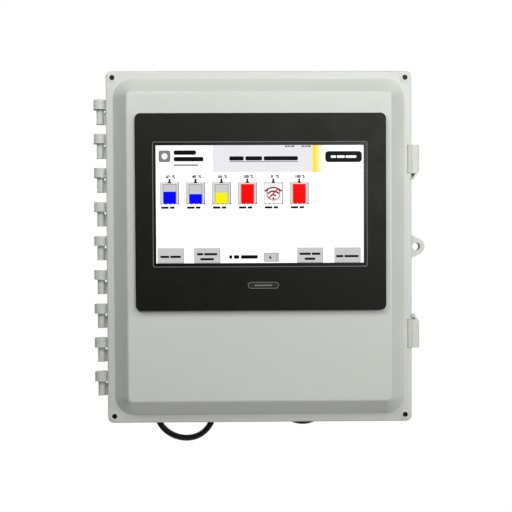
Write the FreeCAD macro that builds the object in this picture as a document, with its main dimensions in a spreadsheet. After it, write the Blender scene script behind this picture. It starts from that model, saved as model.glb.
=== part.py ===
# Wall-mounted operator panel. A grey polycarbonate enclosure has a hinged raised cover, and the cover
# carries a 10.1 inch touch terminal. Two swing latches, nine hinge pairs, a padlock lug, a back panel
# with DIN rail devices, and a short jumper cord between two cable glands complete it.
#
# Frame, in millimetres: +Z is up, +X is right as seen from the front, and the front faces -Y.
# The wall is the plane Y = 0 and the origin is the centre of the four wall bolts.
# A "station" is a distance forward of the wall, so a station of 198 is Y = -198.
import FreeCAD, Part
import math
import os
import re
import Sketcher

SIZES = (
    # name, value, meaning
    ("body_back", 8.0, "station of the enclosure's rear face"),
    ("parting", 198.0, "station where cover and body meet"),
    ("flange_front", 210.0, "station of the cover flange's front face"),
    ("plateau_front", 230.0, "station of the cover's raised front"),
    ("bezel_front", 236.0, "station of the terminal's front face"),
    ("wall", 4.0, "wall thickness of the mouldings"),
    ("gap", 0.3, "clearance between parts that move past each other"),
    ("run_fit", 0.05, "radial clearance of a pin that turns"),
    # enclosure body
    ("opening_width", 304.8, "width of the body's mouth"),
    ("opening_height", 355.6, "height of the body's mouth"),
    ("tub_back_width", 304.0, "outer width at the rear face"),
    ("tub_back_height", 352.0, "outer height at the rear face"),
    ("tub_corner", 8.0, "outer corner radius of the body"),
    ("body_flange_width", 334.0, "width of the body's rim flange"),
    ("body_flange_height", 385.0, "height of the body's rim flange"),
    ("body_flange_corner", 5.0, "corner radius of the rim flange"),
    ("body_flange_depth", 8.0, "depth of the rim flange"),
    # cover
    ("cover_width", 338.0, "width of the cover flange"),
    ("cover_height", 389.0, "height of the cover flange"),
    ("cover_corner", 6.5, "corner radius of the cover flange"),
    ("cover_edge", 2.0, "rounding of the cover flange's front edge"),
    ("dome_width", 322.0, "width of the raised part at its foot"),
    ("dome_height", 371.6, "height of the raised part at its foot"),
    ("dome_corner", 22.0, "corner radius of the raised part at its foot"),
    ("bevel_run", 17.8, "how far the bevel leans in"),
    ("plateau_edge", 3.5, "rounding between bevel and plateau"),
    ("recess_depth", 8.0, "depth of the straight part of the cover's hollow"),
    ("recess_corner", 16.0, "corner radius of the cover's hollow"),
    ("hollow_run", 11.0, "how far the hollow leans in"),
    # cover gasket
    ("gasket_inner_width", 308.8, "inner width of the gasket groove"),
    ("gasket_inner_height", 359.6, "inner height of the gasket groove"),
    ("gasket_inner_corner", 8.0, "inner corner radius of the gasket groove"),
    ("gasket_strip", 6.0, "width of the gasket strip"),
    ("gasket_deep", 4.0, "depth of the gasket strip"),
    # corner screws
    ("corner_screw_x", 161.5, "corner screw offset from the middle, sideways"),
    ("corner_screw_z", 187.0, "corner screw offset from the middle, upwards"),
    ("corner_ring_r", 4.75, "radius of the raised ring round a corner screw"),
    ("corner_ring_rise", 0.6, "height of that ring"),
    ("corner_bore_r", 2.9, "radius of the bore that takes the screw head"),
    ("corner_bore_deep", 8.0, "depth of that bore"),
    ("corner_head_r", 2.5, "radius of the corner screw's head"),
    ("corner_head_tall", 5.0, "height of the corner screw's head"),
    ("corner_shank_r", 1.7, "radius of the corner screw's shank"),
    ("insert_r", 3.0, "radius of a brass insert"),
    ("insert_long", 10.0, "length of a brass insert"),
    ("insert_bore_r", 1.75, "bore radius of a brass insert"),
    ("corner_boss_r", 5.5, "radius of the boss behind the rim flange"),
    ("corner_boss_long", 14.0, "length of that boss"),
    # hinge
    ("hinge_x", -177.1, "hinge axis, sideways"),
    ("hinge_pitch", 37.79, "distance from one hinge pair to the next"),
    ("hinge_low", -165.05, "underside of the lowest hinge pair"),
    ("narrow_r", 4.1, "radius of the body's hinge barrels"),
    ("narrow_tall", 15.85, "height of the body's hinge barrels"),
    ("wide_r", 7.7, "radius of the cover's hinge barrels"),
    ("wide_low", 16.15, "height where a cover barrel starts above its pair's underside"),
    ("pair_tall", 26.7, "height of a hinge pair"),
    ("arm_notch_r", 1.2, "radius of the notch at the root of a body barrel's arm"),
    ("arm_notch_x", 4.8, "distance from the hinge axis to that notch"),
    ("arm_notch_deep", 1.6, "depth of the notch's centre below the top of the arm"),
    ("hinge_pin_r", 2.5, "radius of a hinge pin"),
    ("hinge_pin_floor", 2.0, "solid floor under a hinge pin"),
    ("hinge_cup_r", 6.4, "radius of the cup in a cover barrel"),
    ("hinge_cup_deep", 3.0, "depth of that cup"),
    ("hinge_head_r", 4.8, "radius of a hinge pin's head"),
    ("hinge_head_tall", 1.6, "height of a hinge pin's head"),
    # latches
    ("latch_pin_x", 166.9, "latch pin axis, sideways"),
    ("latch_pin_station", 207.2, "latch pin axis, station"),
    ("latch_pin_r", 1.2, "radius of a latch pin"),
    ("latch_pin_bite", 4.0, "how far a latch pin enters the cover at each end"),
    ("latch_barrel_r", 2.5, "radius of a latch's barrel"),
    ("latch_outer", 177.0, "outer face of a latch, sideways"),
    ("latch_plate", 2.5, "thickness of a latch's side plate"),
    ("latch_front", 212.0, "station of a latch's front face"),
    ("latch_front_plate", 3.0, "thickness of a latch's front plate"),
    ("latch_back", 184.0, "station of a latch's rear end"),
    ("latch_hook_deep", 3.5, "depth of a latch's hook"),
    ("latch_hook_reach", 0.35, "clearance from hook tip to rim flange"),
    ("latch_near", 74.25, "end of a latch nearest the middle"),
    ("latch_far", 112.4, "end of a latch farthest from the middle"),
    ("latch_slant_long", 9.5, "length of a latch's slanted end"),
    ("latch_slant_wide", 5.5, "width of the slant"),
    ("latch_tip", 6.7, "length of the tip that lies beyond a latch's barrel"),
    ("latch_hole_long", 4.6, "length of the triangular hole in the tip"),
    ("latch_hole_wide", 3.9, "width of that hole"),
    # padlock lug
    ("lug_x", 174.8, "padlock hole, sideways"),
    ("lug_r", 9.2, "outer radius of the padlock lug"),
    ("lug_hole_r", 4.5, "radius of the padlock hole"),
    ("lug_root_x", 165.5, "where the lug's fairings start, sideways"),
    ("lug_root_z", 14.5, "where the lug's fairings start, up and down"),
    ("lug_deep", 8.0, "depth of each half of the lug"),
    # mounting feet
    ("bolt_x", 127.0, "wall bolt offset from the middle, sideways"),
    ("bolt_z", 190.5, "wall bolt offset from the middle, upwards"),
    ("bolt_hole_r", 3.55, "radius of a wall bolt hole"),
    ("foot_half_width", 15.0, "half width of a mounting foot"),
    ("foot_inner_z", 150.0, "inner end of a mounting foot"),
    ("foot_step_z", 172.0, "end of a mounting foot's thick part"),
    ("foot_outer_z", 202.0, "outer end of a mounting foot"),
    ("foot_tab", 5.0, "thickness of a mounting foot's tab"),
    ("foot_screw_z", 160.0, "foot screw offset from the middle, upwards"),
    ("foot_screw_r", 2.5, "radius of a foot screw's shank"),
    ("foot_screw_head_r", 4.7, "radius of a foot screw's head"),
    ("foot_sink_r", 5.2, "radius of the sink for that head"),
    ("foot_sink_deep", 3.6, "depth of that sink"),
    ("foot_screw_tip", 20.0, "station of a foot screw's tip"),
    ("foot_boss_r", 7.0, "radius of the body boss that takes a foot screw"),
    ("foot_boss_front", 22.0, "station of that boss's end"),
    # back panel and rail
    ("panel_back", 25.0, "station of the back panel's rear face"),
    ("panel_front", 27.0, "station of the back panel's front face"),
    ("panel_width", 276.0, "width of the back panel"),
    ("panel_height", 324.0, "height of the back panel"),
    ("panel_corner", 4.0, "corner radius of the back panel"),
    ("panel_screw_x", 110.0, "back panel screw offset, sideways"),
    ("panel_screw_z", 150.0, "back panel screw offset, upwards"),
    ("panel_boss_r", 6.0, "radius of a back panel boss"),
    ("panel_screw_r", 2.5, "radius of a back panel screw"),
    ("panel_head_r", 4.5, "radius of a back panel screw's head"),
    ("panel_head_tall", 3.0, "height of a back panel screw's head"),
    ("rail_z", 35.0, "height of the DIN rail's middle"),
    ("rail_half_length", 130.0, "half length of the DIN rail"),
    ("rail_half_height", 17.5, "half height of the DIN rail"),
    ("rail_half_web", 13.5, "half height of the DIN rail's web"),
    ("rail_rise", 7.5, "rise of the DIN rail"),
    ("rail_sheet", 1.0, "sheet thickness of the DIN rail"),
    ("rail_screw_x", 62.0, "rail screw offset, sideways"),
    ("rail_screw_r", 2.4, "radius of a rail screw"),
    ("rail_head_r", 4.0, "radius of a rail screw's head"),
    ("device_back", 29.0, "station of the devices' rear faces"),
    ("slip", 0.2, "clearance between a device and the rail"),
    # devices on the rail
    ("supply_left", -118.0, "power supply, left side"),
    ("supply_width", 50.0, "power supply, width"),
    ("supply_half_tall", 45.0, "power supply, half height"),
    ("supply_front", 140.0, "power supply, station of its front"),
    ("controller_left", -56.0, "controller, left side"),
    ("controller_width", 84.0, "controller, width"),
    ("controller_half_tall", 50.0, "controller, half height"),
    ("controller_front", 96.0, "controller, station of its front"),
    ("breaker_left", 34.0, "circuit breaker, left side"),
    ("breaker_width", 17.6, "circuit breaker, width"),
    ("breaker_half_tall", 42.5, "circuit breaker, half height"),
    ("breaker_front", 75.0, "circuit breaker, station of its shoulders"),
    ("breaker_nose_half", 22.5, "circuit breaker, half height of its nose"),
    ("breaker_nose_front", 90.0, "circuit breaker, station of its nose"),
    ("toggle_station", 84.0, "toggle axis, station"),
    ("toggle_barrel_r", 5.0, "toggle barrel radius"),
    ("toggle_width", 8.8, "toggle width"),
    ("toggle_lever", 16.0, "toggle lever length from its axis"),
    ("toggle_thick", 4.0, "toggle lever thickness"),
    ("toggle_pin_r", 1.5, "toggle pin radius"),
    ("terminal_left", 60.0, "first terminal block, left side"),
    ("terminal_pitch", 6.2, "terminal block pitch"),
    ("terminal_thick", 6.0, "terminal block thickness"),
    ("terminal_half_tall", 22.5, "terminal block half height"),
    ("terminal_front", 74.0, "terminal block, station of its front"),
    ("stop_thick", 5.5, "end stop thickness"),
    # touch terminal
    ("hmi_x", 1.7, "terminal centre, sideways"),
    ("hmi_z", 38.0, "terminal centre, upwards"),
    ("bezel_width", 271.0, "bezel width"),
    ("bezel_height", 213.0, "bezel height"),
    ("bezel_corner", 6.3, "bezel corner radius"),
    ("bezel_edge", 1.4, "rounding of the bezel's front edge"),
    ("hmi_gasket_thick", 1.0, "terminal gasket thickness"),
    ("cutout_width", 259.0, "cover cut-out width"),
    ("cutout_height", 201.0, "cover cut-out height"),
    ("window_width", 229.8, "bezel window width"),
    ("window_height", 133.3, "bezel window height"),
    ("window_x", -0.7, "window centre from the bezel centre, sideways"),
    ("window_z", 8.1, "window centre from the bezel centre, upwards"),
    ("window_chamfer", 1.0, "chamfer round the window"),
    ("overlay_back", 232.7, "station of the touch overlay's rear face"),
    ("overlay_front", 234.7, "station of the touch overlay's front face"),
    ("overlay_margin", 2.5, "overlay overlap behind the bezel"),
    ("display_margin", 5.0, "display overlap behind the bezel"),
    ("display_back", 226.5, "station of the display module's rear face"),
    ("display_front", 232.5, "station of the display module's front face"),
    ("case_width", 257.0, "terminal rear housing width"),
    ("case_height", 199.0, "terminal rear housing height"),
    ("case_back", 190.0, "station of the rear housing's rear face"),
    ("case_wall", 2.0, "rear housing wall"),
    ("case_corner", 3.0, "rear housing corner radius"),
    ("board_width", 230.0, "main board width"),
    ("board_height", 168.0, "main board height"),
    ("board_back", 214.0, "station of the main board's rear face"),
    ("board_thick", 1.6, "main board thickness"),
    ("clamp_half_width", 6.0, "half width of a terminal clamp"),
    ("clamp_tall", 11.0, "height of a terminal clamp"),
    ("clamp_back", 205.0, "station of a clamp's rear face"),
    ("clamp_front", 213.0, "station of a clamp's front face"),
    ("clamp_screw_r", 2.0, "radius of a clamp screw"),
    ("clamp_head_r", 3.5, "radius of a clamp screw's head"),
    ("badge_x", 2.3, "badge centre from the bezel centre, sideways"),
    ("badge_z", -79.2, "badge centre from the bezel centre, upwards"),
    ("badge_width", 34.0, "badge width"),
    ("badge_height", 7.6, "badge height"),
    ("badge_thick", 0.5, "badge thickness"),
    # cable glands under the body
    ("gland_station", 50.0, "station of the jumper cord's glands"),
    ("gland_left_x", -133.7, "left gland, sideways"),
    ("gland_right_x", -59.9, "right gland, sideways"),
    ("pad_top", -171.5, "inner face of a gland pad"),
    ("pad_low", -179.0, "outer face of a gland pad"),
    ("pad_r", 13.5, "radius of a gland pad"),
    ("gland_r", 8.0, "radius of a gland's thread"),
    ("gland_hex_r", 10.97, "circumradius of a gland's hexagons"),
    ("gland_collar", 5.0, "height of a gland's collar"),
    ("gland_neck_r", 7.0, "radius of a gland's neck"),
    ("gland_bore_r", 4.0, "bore radius of a gland"),
    ("gland_seal_r", 5.2, "radius of a gland's seal"),
    ("gland_mouth", -198.0, "underside of a gland"),
    ("locknut_r", 12.7, "circumradius of a gland's locknut"),
    ("locknut_tall", 5.0, "height of a gland's locknut"),
    ("spare_x", 49.8, "spare gland, sideways"),
    ("spare_station", 145.0, "spare gland, station"),
    ("spare_pad_top", -175.5, "inner face of the spare gland's pad"),
    ("spare_pad_low", -183.5, "outer face of the spare gland's pad"),
    ("spare_pad_r", 20.0, "radius of the spare gland's pad"),
    ("spare_r", 12.5, "radius of the spare gland's thread"),
    ("spare_hex_r", 17.3, "circumradius of the spare gland's collar"),
    ("spare_neck_r", 11.5, "radius of the spare gland's neck"),
    ("spare_cap_r", 16.0, "radius of the spare gland's cap"),
    ("spare_dome_r", 34.0, "dome radius of the spare gland's cap"),
    ("spare_low", -208.9, "underside of the spare gland's cap"),
    # jumper cord
    ("cord_diameter", 7.7, "diameter of the jumper cord"),
    ("arc_share", 0.45, "share of the shorter run that an arc of the cord takes"),
)
NAMES = {name for name, value, meaning in SIZES}
SIDES = (-1, 1)
HINGE_PAIRS = 9
CLAMP_PLACES = (-98, -34, 34, 98)
TERMINAL_COUNT = 9
VENT_COUNT = 9
# Offsets of the cord's route from the middle between its glands: sideways, forward of the glands, height.
CORD_ROUTE = (
    (-36.9, 0.0, -198.0),
    (-36.9, 0.2, -217.6),
    (-26.4, 0.8, -235.0),
    (-8.6, 1.3, -244.3),
    (11.4, 1.3, -244.7),
    (27.6, 0.8, -235.2),
    (36.9, 0.2, -218.0),
    (36.9, 0.0, -198.0),
)

doc = FreeCAD.newDocument("OperatorPanel")
sheet = doc.addObject("Spreadsheet::Sheet", "Sizes")
nodes = {}


# ---------------------------------------------------------------- sheet


def fill_sheet():
    for row, (name, value, meaning) in enumerate(SIZES, start=1):
        sheet.set("A%d" % row, meaning)
        sheet.set("B%d" % row, str(value))
        sheet.setAlias("B%d" % row, name)
    doc.recompute()


def with_sheet(rule):
    """Turns the size names in a rule into references to the sheet."""
    return re.sub(r"[a-z][a-z_]+", lambda found: named_cell(found.group()), str(rule))


def named_cell(word):
    return "Sizes." + word if word in NAMES else word


def number(rule):
    """The value of a rule, in millimetres."""
    return float(sheet.evalExpression(with_sheet(rule)))


def bind(thing, prop, rule):
    thing.setExpression(prop, with_sheet(rule))


def place(thing, x, y, z):
    for axis, rule in zip("xyz", (x, y, z)):
        bind(thing, "Placement.Base." + axis, rule)


# ---------------------------------------------------------------- Part primitives and booleans


def block(name, left, right, low, high, back, front):
    """A box between two sides, two heights and two stations."""
    solid = doc.addObject("Part::Box", name)
    bind(solid, "Length", f"({right}) - ({left})")
    bind(solid, "Width", f"({front}) - ({back})")
    bind(solid, "Height", f"({high}) - ({low})")
    place(solid, left, f"-({front})", low)
    return solid


def rod(name, radius, x, z, back, front):
    """A round bar that points forward, from one station to another."""
    solid = doc.addObject("Part::Cylinder", name)
    solid.Placement.Rotation = FreeCAD.Rotation(FreeCAD.Vector(1, 0, 0), 90)
    bind(solid, "Radius", radius)
    bind(solid, "Height", f"({front}) - ({back})")
    place(solid, x, f"-({back})", z)
    return solid


def post(name, radius, x, station, low, high):
    """A round bar that points up, from one height to another."""
    solid = doc.addObject("Part::Cylinder", name)
    bind(solid, "Radius", radius)
    bind(solid, "Height", f"({high}) - ({low})")
    place(solid, x, f"-({station})", low)
    return solid


def axle(name, radius, left, right, station, z):
    """A round bar that points sideways, from one side to another."""
    solid = doc.addObject("Part::Cylinder", name)
    solid.Placement.Rotation = FreeCAD.Rotation(FreeCAD.Vector(0, 1, 0), 90)
    bind(solid, "Radius", radius)
    bind(solid, "Height", f"({right}) - ({left})")
    place(solid, left, f"-({station})", z)
    return solid


def hexagon(name, radius, x, station, low, high):
    """An upright six-sided bar of a given circumradius."""
    solid = doc.addObject("Part::Prism", name)
    solid.Polygon = 6
    bind(solid, "Circumradius", radius)
    bind(solid, "Height", f"({high}) - ({low})")
    place(solid, x, f"-({station})", low)
    return solid


def taper(name, low_radius, high_radius, x, station, low, high):
    """An upright cone frustum."""
    solid = doc.addObject("Part::Cone", name)
    bind(solid, "Radius1", low_radius)
    bind(solid, "Radius2", high_radius)
    bind(solid, "Height", f"({high}) - ({low})")
    place(solid, x, f"-({station})", low)
    return solid


def fuse(name, parts):
    joined = doc.addObject("Part::MultiFuse", name)
    joined.Shapes = list(parts)
    joined.Refine = True
    return joined


def cut(name, base, tools):
    tools = list(tools)
    result = doc.addObject("Part::Cut", name)
    result.Base = base
    result.Tool = tools[0] if len(tools) == 1 else fuse(name + "_tools", tools)
    return result


def corner_tag(side, end):
    """The word for one corner of the case, such as left_high, used in the names of its features."""
    return ("left_" if side < 0 else "right_") + ("low" if end < 0 else "high")


def group(name, parts):
    """Separate solids kept together, such as a set of like screws."""
    together = doc.addObject("Part::Compound", name)
    together.Links = list(parts)
    return together


def node(label, thing):
    """Names a finished sub-part."""
    thing.Label = label
    nodes[label] = thing


# ---------------------------------------------------------------- PartDesign bodies and sketches


def plane_sketch(body, name, role, offset):
    """A sketch on one of a body's own planes, moved along that plane's normal."""
    sketch = body.newObject("Sketcher::SketchObject", name)
    plane = next(part for part in body.Origin.OriginFeatures if part.Role == role)
    sketch.AttachmentSupport = [(plane, "")]
    sketch.MapMode = "FlatFace"
    bind(sketch, "AttachmentOffset.Base.z", offset)
    return sketch


def front_sketch(body, name, station):
    """A sketch seen from the front, at a station. Its normal points forward."""
    return plane_sketch(body, name, "XZ_Plane", station)


def tie(sketch, kind, where, prop, rule):
    """Adds one measured constraint and binds it to the sheet."""
    index = sketch.addConstraint(Sketcher.Constraint(kind, *where, number(rule)))
    sketch.renameConstraint(index, prop)
    bind(sketch, "Constraints." + prop, rule)


def pin_point(sketch, line, end, prop, x, y):
    """Fixes a point of a sketch by its two coordinates."""
    tie(sketch, "DistanceX", (-1, 1, line, end), prop + "_x", x)
    tie(sketch, "DistanceY", (-1, 1, line, end), prop + "_y", y)


def rounded_rectangle(sketch, width, height, corner, x="0", z="0", tag="frame"):
    """Adds a rectangle with round corners, centred on x and z."""
    left, right = number(f"({x}) - ({width}) / 2"), number(f"({x}) + ({width}) / 2")
    low, high = number(f"({z}) - ({height}) / 2"), number(f"({z}) + ({height}) / 2")
    radius = number(corner)
    inner = (left + radius, right - radius, low + radius, high - radius)
    corners = (
        (inner[1], inner[2], -90),
        (inner[1], inner[3], 0),
        (inner[0], inner[3], 90),
        (inner[0], inner[2], 180),
    )
    lines = (
        ((inner[0], low), (inner[1], low)),
        ((right, inner[2]), (right, inner[3])),
        ((inner[1], high), (inner[0], high)),
        ((left, inner[3]), (left, inner[2])),
    )
    ids = []
    for (start, end), (centre_x, centre_z, angle) in zip(lines, corners):
        line = Part.LineSegment(FreeCAD.Vector(*start, 0), FreeCAD.Vector(*end, 0))
        circle = Part.Circle(FreeCAD.Vector(centre_x, centre_z, 0), FreeCAD.Vector(0, 0, 1), radius)
        arc = Part.ArcOfCircle(circle, math.radians(angle), math.radians(angle + 90))
        ids.append(sketch.addGeometry(line))
        ids.append(sketch.addGeometry(arc))
    for first, second in zip(ids, ids[1:] + ids[:1]):
        sketch.addConstraint(Sketcher.Constraint("Tangent", first, 2, second, 1))
    for flat in (ids[0], ids[4]):
        sketch.addConstraint(Sketcher.Constraint("Horizontal", flat))
    for upright in (ids[2], ids[6]):
        sketch.addConstraint(Sketcher.Constraint("Vertical", upright))
    for arc in (ids[3], ids[5], ids[7]):
        sketch.addConstraint(Sketcher.Constraint("Equal", ids[1], arc))
    tie(sketch, "Radius", (ids[1],), tag + "_corner", corner)
    tie(sketch, "DistanceX", (-1, 1, ids[2], 1), tag + "_right", f"({x}) + ({width}) / 2")
    tie(sketch, "DistanceX", (-1, 1, ids[6], 1), tag + "_left", f"({x}) - ({width}) / 2")
    tie(sketch, "DistanceY", (-1, 1, ids[4], 1), tag + "_high", f"({z}) + ({height}) / 2")
    tie(sketch, "DistanceY", (-1, 1, ids[0], 1), tag + "_low", f"({z}) - ({height}) / 2")


def polygon(sketch, points, tag="point"):
    """Adds a closed outline of straight lines through points given as rules."""
    corners = [FreeCAD.Vector(number(x), number(y), 0) for x, y in points]
    ids = []
    for start, end in zip(corners, corners[1:] + corners[:1]):
        ids.append(sketch.addGeometry(Part.LineSegment(start, end)))
    for first, second in zip(ids, ids[1:] + ids[:1]):
        sketch.addConstraint(Sketcher.Constraint("Coincident", first, 2, second, 1))
    for index, (line, (x, y)) in enumerate(zip(ids, points)):
        pin_point(sketch, line, 1, f"{tag}_{index}", x, y)


def circle(sketch, radius, x, y, tag="hole"):
    """Adds a circle with its centre given as rules."""
    centre = FreeCAD.Vector(number(x), number(y), 0)
    index = sketch.addGeometry(Part.Circle(centre, FreeCAD.Vector(0, 0, 1), number(radius)))
    tie(sketch, "Radius", (index,), tag + "_r", radius)
    pin_point(sketch, index, 3, tag, x, y)


def pad(body, sketch, length, lean=None):
    """Grows a sketch along its normal. A lean, in degrees, draws the sides in."""
    feature = body.newObject("PartDesign::Pad", sketch.Name + "_pad")
    feature.Profile = sketch
    bind(feature, "Length", length)
    if lean:
        bind(feature, "TaperAngle", lean)
    doc.recompute()
    return feature


def pocket(body, sketch, length, lean=None):
    """Cuts a sketch along its normal and makes sure that it really cuts."""
    before = body.Shape.Volume
    feature = body.newObject("PartDesign::Pocket", sketch.Name + "_pocket")
    feature.Profile = sketch
    feature.Reversed = True
    bind(feature, "Length", length)
    if lean:
        bind(feature, "TaperAngle", lean)
    doc.recompute()
    if body.Shape.Volume >= before - 0.01:
        raise RuntimeError(feature.Name + " cuts nothing")
    return feature


def loft(body, kind, name, sketches):
    feature = body.newObject("PartDesign::" + kind, name)
    feature.Profile = sketches[0]
    feature.Sections = list(sketches[1:])
    feature.Ruled = True
    doc.recompute()
    return feature


def dress(body, kind, name, chosen, size):
    """Fillets or chamfers the edges of the body's tip that a test picks."""
    tip = body.Tip
    edges = ["Edge%d" % (i + 1) for i, edge in enumerate(tip.Shape.Edges) if chosen(edge.BoundBox)]
    feature = body.newObject("PartDesign::" + kind, name)
    feature.Base = (tip, edges)
    bind(feature, "Radius" if kind == "Fillet" else "Size", size)
    doc.recompute()
    return feature


def at_station(box, station):
    """True for an edge that lies wholly at one station."""
    return abs(box.YMin + number(station)) < 0.01 and abs(box.YMax + number(station)) < 0.01


def outside(box, half_width, half_height):
    """True for an edge that is no nearer the middle than a half width or a half height."""
    side = min(abs(box.XMin), abs(box.XMax)) > number(half_width)
    end = min(abs(box.ZMin), abs(box.ZMax)) > number(half_height)
    return side or end


# ---------------------------------------------------------------- enclosure body


def lug_half(name, back):
    """Half of the padlock lug: a round eye with straight fairings to the flange."""
    body = doc.addObject("PartDesign::Body", name)
    sketch = front_sketch(body, name + "_outline", back)
    eye, radius = number("lug_x"), number("lug_r")
    root_x, root_z = number("lug_root_x"), number("lug_root_z")
    reach = math.hypot(eye - root_x, root_z)
    turn = math.atan2(-root_z, root_x - eye) + math.acos(radius / reach)
    low = FreeCAD.Vector(eye + radius * math.cos(turn), radius * math.sin(turn), 0)
    high = FreeCAD.Vector(low.x, -low.y, 0)
    rim = Part.Circle(FreeCAD.Vector(eye, 0, 0), FreeCAD.Vector(0, 0, 1), radius)
    rim_angle = math.atan2(high.y, high.x - eye)
    fairing_low = sketch.addGeometry(Part.LineSegment(FreeCAD.Vector(root_x, -root_z, 0), low))
    arc = sketch.addGeometry(Part.ArcOfCircle(rim, -rim_angle, rim_angle))
    fairing_high = sketch.addGeometry(Part.LineSegment(high, FreeCAD.Vector(root_x, root_z, 0)))
    root = sketch.addGeometry(
        Part.LineSegment(FreeCAD.Vector(root_x, root_z, 0), FreeCAD.Vector(root_x, -root_z, 0))
    )
    sketch.addConstraint(Sketcher.Constraint("Tangent", fairing_low, 2, arc, 1))
    sketch.addConstraint(Sketcher.Constraint("Tangent", arc, 2, fairing_high, 1))
    sketch.addConstraint(Sketcher.Constraint("Coincident", fairing_high, 2, root, 1))
    sketch.addConstraint(Sketcher.Constraint("Coincident", root, 2, fairing_low, 1))
    tie(sketch, "Radius", (arc,), "rim", "lug_r")
    pin_point(sketch, arc, 3, "eye", "lug_x", "0")
    pin_point(sketch, root, 1, "root_high", "lug_root_x", "lug_root_z")
    pin_point(sketch, root, 2, "root_low", "lug_root_x", "-lug_root_z")
    circle(sketch, "lug_hole_r", "lug_x", "0")
    pad(body, sketch, "lug_deep")
    return body


def make_padlock_lug(label, back, flange_width):
    """One half of the padlock lug, cut off where it meets the side face of its flange."""
    half = lug_half(label + "_shape", back)
    flange = block(label + "_flange", "lug_root_x - 1", f"{flange_width} / 2", "-lug_root_z - 1",
                   "lug_root_z + 1", f"{back} - 1", f"{back} + lug_deep + 1")
    node(label, cut(label + "_cut", half, (flange,)))


def make_tub():
    """The deep moulded shell with its rim flange, before bosses and hinge barrels."""
    tub = doc.addObject("PartDesign::Body", "tub")
    back = front_sketch(tub, "tub_back", "body_back")
    rounded_rectangle(back, "tub_back_width", "tub_back_height", "tub_corner")
    mouth = front_sketch(tub, "tub_mouth", "parting")
    rounded_rectangle(mouth, "opening_width + 2 * wall", "opening_height + 2 * wall", "tub_corner")
    loft(tub, "AdditiveLoft", "tub_walls", (back, mouth))
    flange = front_sketch(tub, "tub_flange", "parting - body_flange_depth")
    rounded_rectangle(flange, "body_flange_width", "body_flange_height", "body_flange_corner")
    pad(tub, flange, "body_flange_depth")
    floor = front_sketch(tub, "tub_floor", "body_back + wall")
    rounded_rectangle(floor, "tub_back_width - 2 * wall", "tub_back_height - 2 * wall", "tub_corner - wall")
    opening = front_sketch(tub, "tub_opening", "parting")
    rounded_rectangle(opening, "opening_width", "opening_height", "tub_corner - wall")
    loft(tub, "SubtractiveLoft", "tub_hollow", (floor, opening))
    return tub


def pair_rule(index):
    """The underside of a hinge pair, as a rule."""
    return f"hinge_low + {index} * hinge_pitch"


def make_enclosure_body():
    added = [make_tub()]
    removed = []
    for index in range(HINGE_PAIRS):
        low = pair_rule(index)
        top = f"{low} + narrow_tall"
        added.append(post(f"body_barrel_{index}", "narrow_r", "hinge_x", "parting", low, top))
        added.append(
            block(f"body_arm_{index}", "hinge_x", "-body_flange_width / 2 + 0.5", low, top,
                  "parting - narrow_r", "parting")
        )
        notch_x, notch_low = "hinge_x + arm_notch_x", f"{top} - arm_notch_deep"
        removed.append(
            rod(f"body_arm_round_{index}", "arm_notch_r", notch_x, notch_low, "parting - narrow_r - 1",
                "parting + 1")
        )
        removed.append(
            block(f"body_arm_notch_{index}", f"{notch_x} - arm_notch_r", f"{notch_x} + arm_notch_r",
                  notch_low, f"{top} + 1", "parting - narrow_r - 1", "parting + 1")
        )
        removed.append(
            post(f"body_pin_hole_{index}", "hinge_pin_r", "hinge_x", "parting", f"{low} + hinge_pin_floor",
                 f"{top} + 1")
        )
    for side in SIDES:
        for end in SIDES:
            tag = corner_tag(side, end)
            x, z = f"{side} * corner_screw_x", f"{end} * corner_screw_z"
            under = "parting - body_flange_depth"
            added.append(
                rod("corner_boss_" + tag, "corner_boss_r", x, z, f"{under} - corner_boss_long", under)
            )
            removed.append(
                rod("insert_hole_" + tag, "insert_r", x, z, "parting - insert_long", "parting + 1")
            )
            x, z = f"{side} * bolt_x", f"{end} * foot_screw_z"
            added.append(rod("foot_boss_" + tag, "foot_boss_r", x, z, "body_back + 1", "foot_boss_front"))
            removed.append(rod("foot_hole_" + tag, "foot_screw_r", x, z, "body_back - 1", "foot_screw_tip"))
            x, z = f"{side} * panel_screw_x", f"{end} * panel_screw_z"
            added.append(rod("panel_boss_" + tag, "panel_boss_r", x, z, "body_back + 1", "panel_back"))
            removed.append(
                rod("panel_hole_" + tag, "panel_screw_r", x, z, "body_back + 6", "panel_back + 1")
            )
    for tag, x in (("left", "gland_left_x"), ("right", "gland_right_x")):
        added.append(post("gland_pad_" + tag, "pad_r", x, "gland_station", "pad_low", "pad_top"))
        removed.append(
            post("gland_hole_" + tag, "gland_r", x, "gland_station", "pad_low - 1", "pad_top + 1")
        )
    added.append(
        post("spare_pad", "spare_pad_r", "spare_x", "spare_station", "spare_pad_low", "spare_pad_top")
    )
    removed.append(
        post("spare_hole", "spare_r", "spare_x", "spare_station", "spare_pad_low - 1", "spare_pad_top + 1")
    )
    node("enclosure_body", cut("enclosure_body_cut", fuse("enclosure_body_sum", added), removed))


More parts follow.
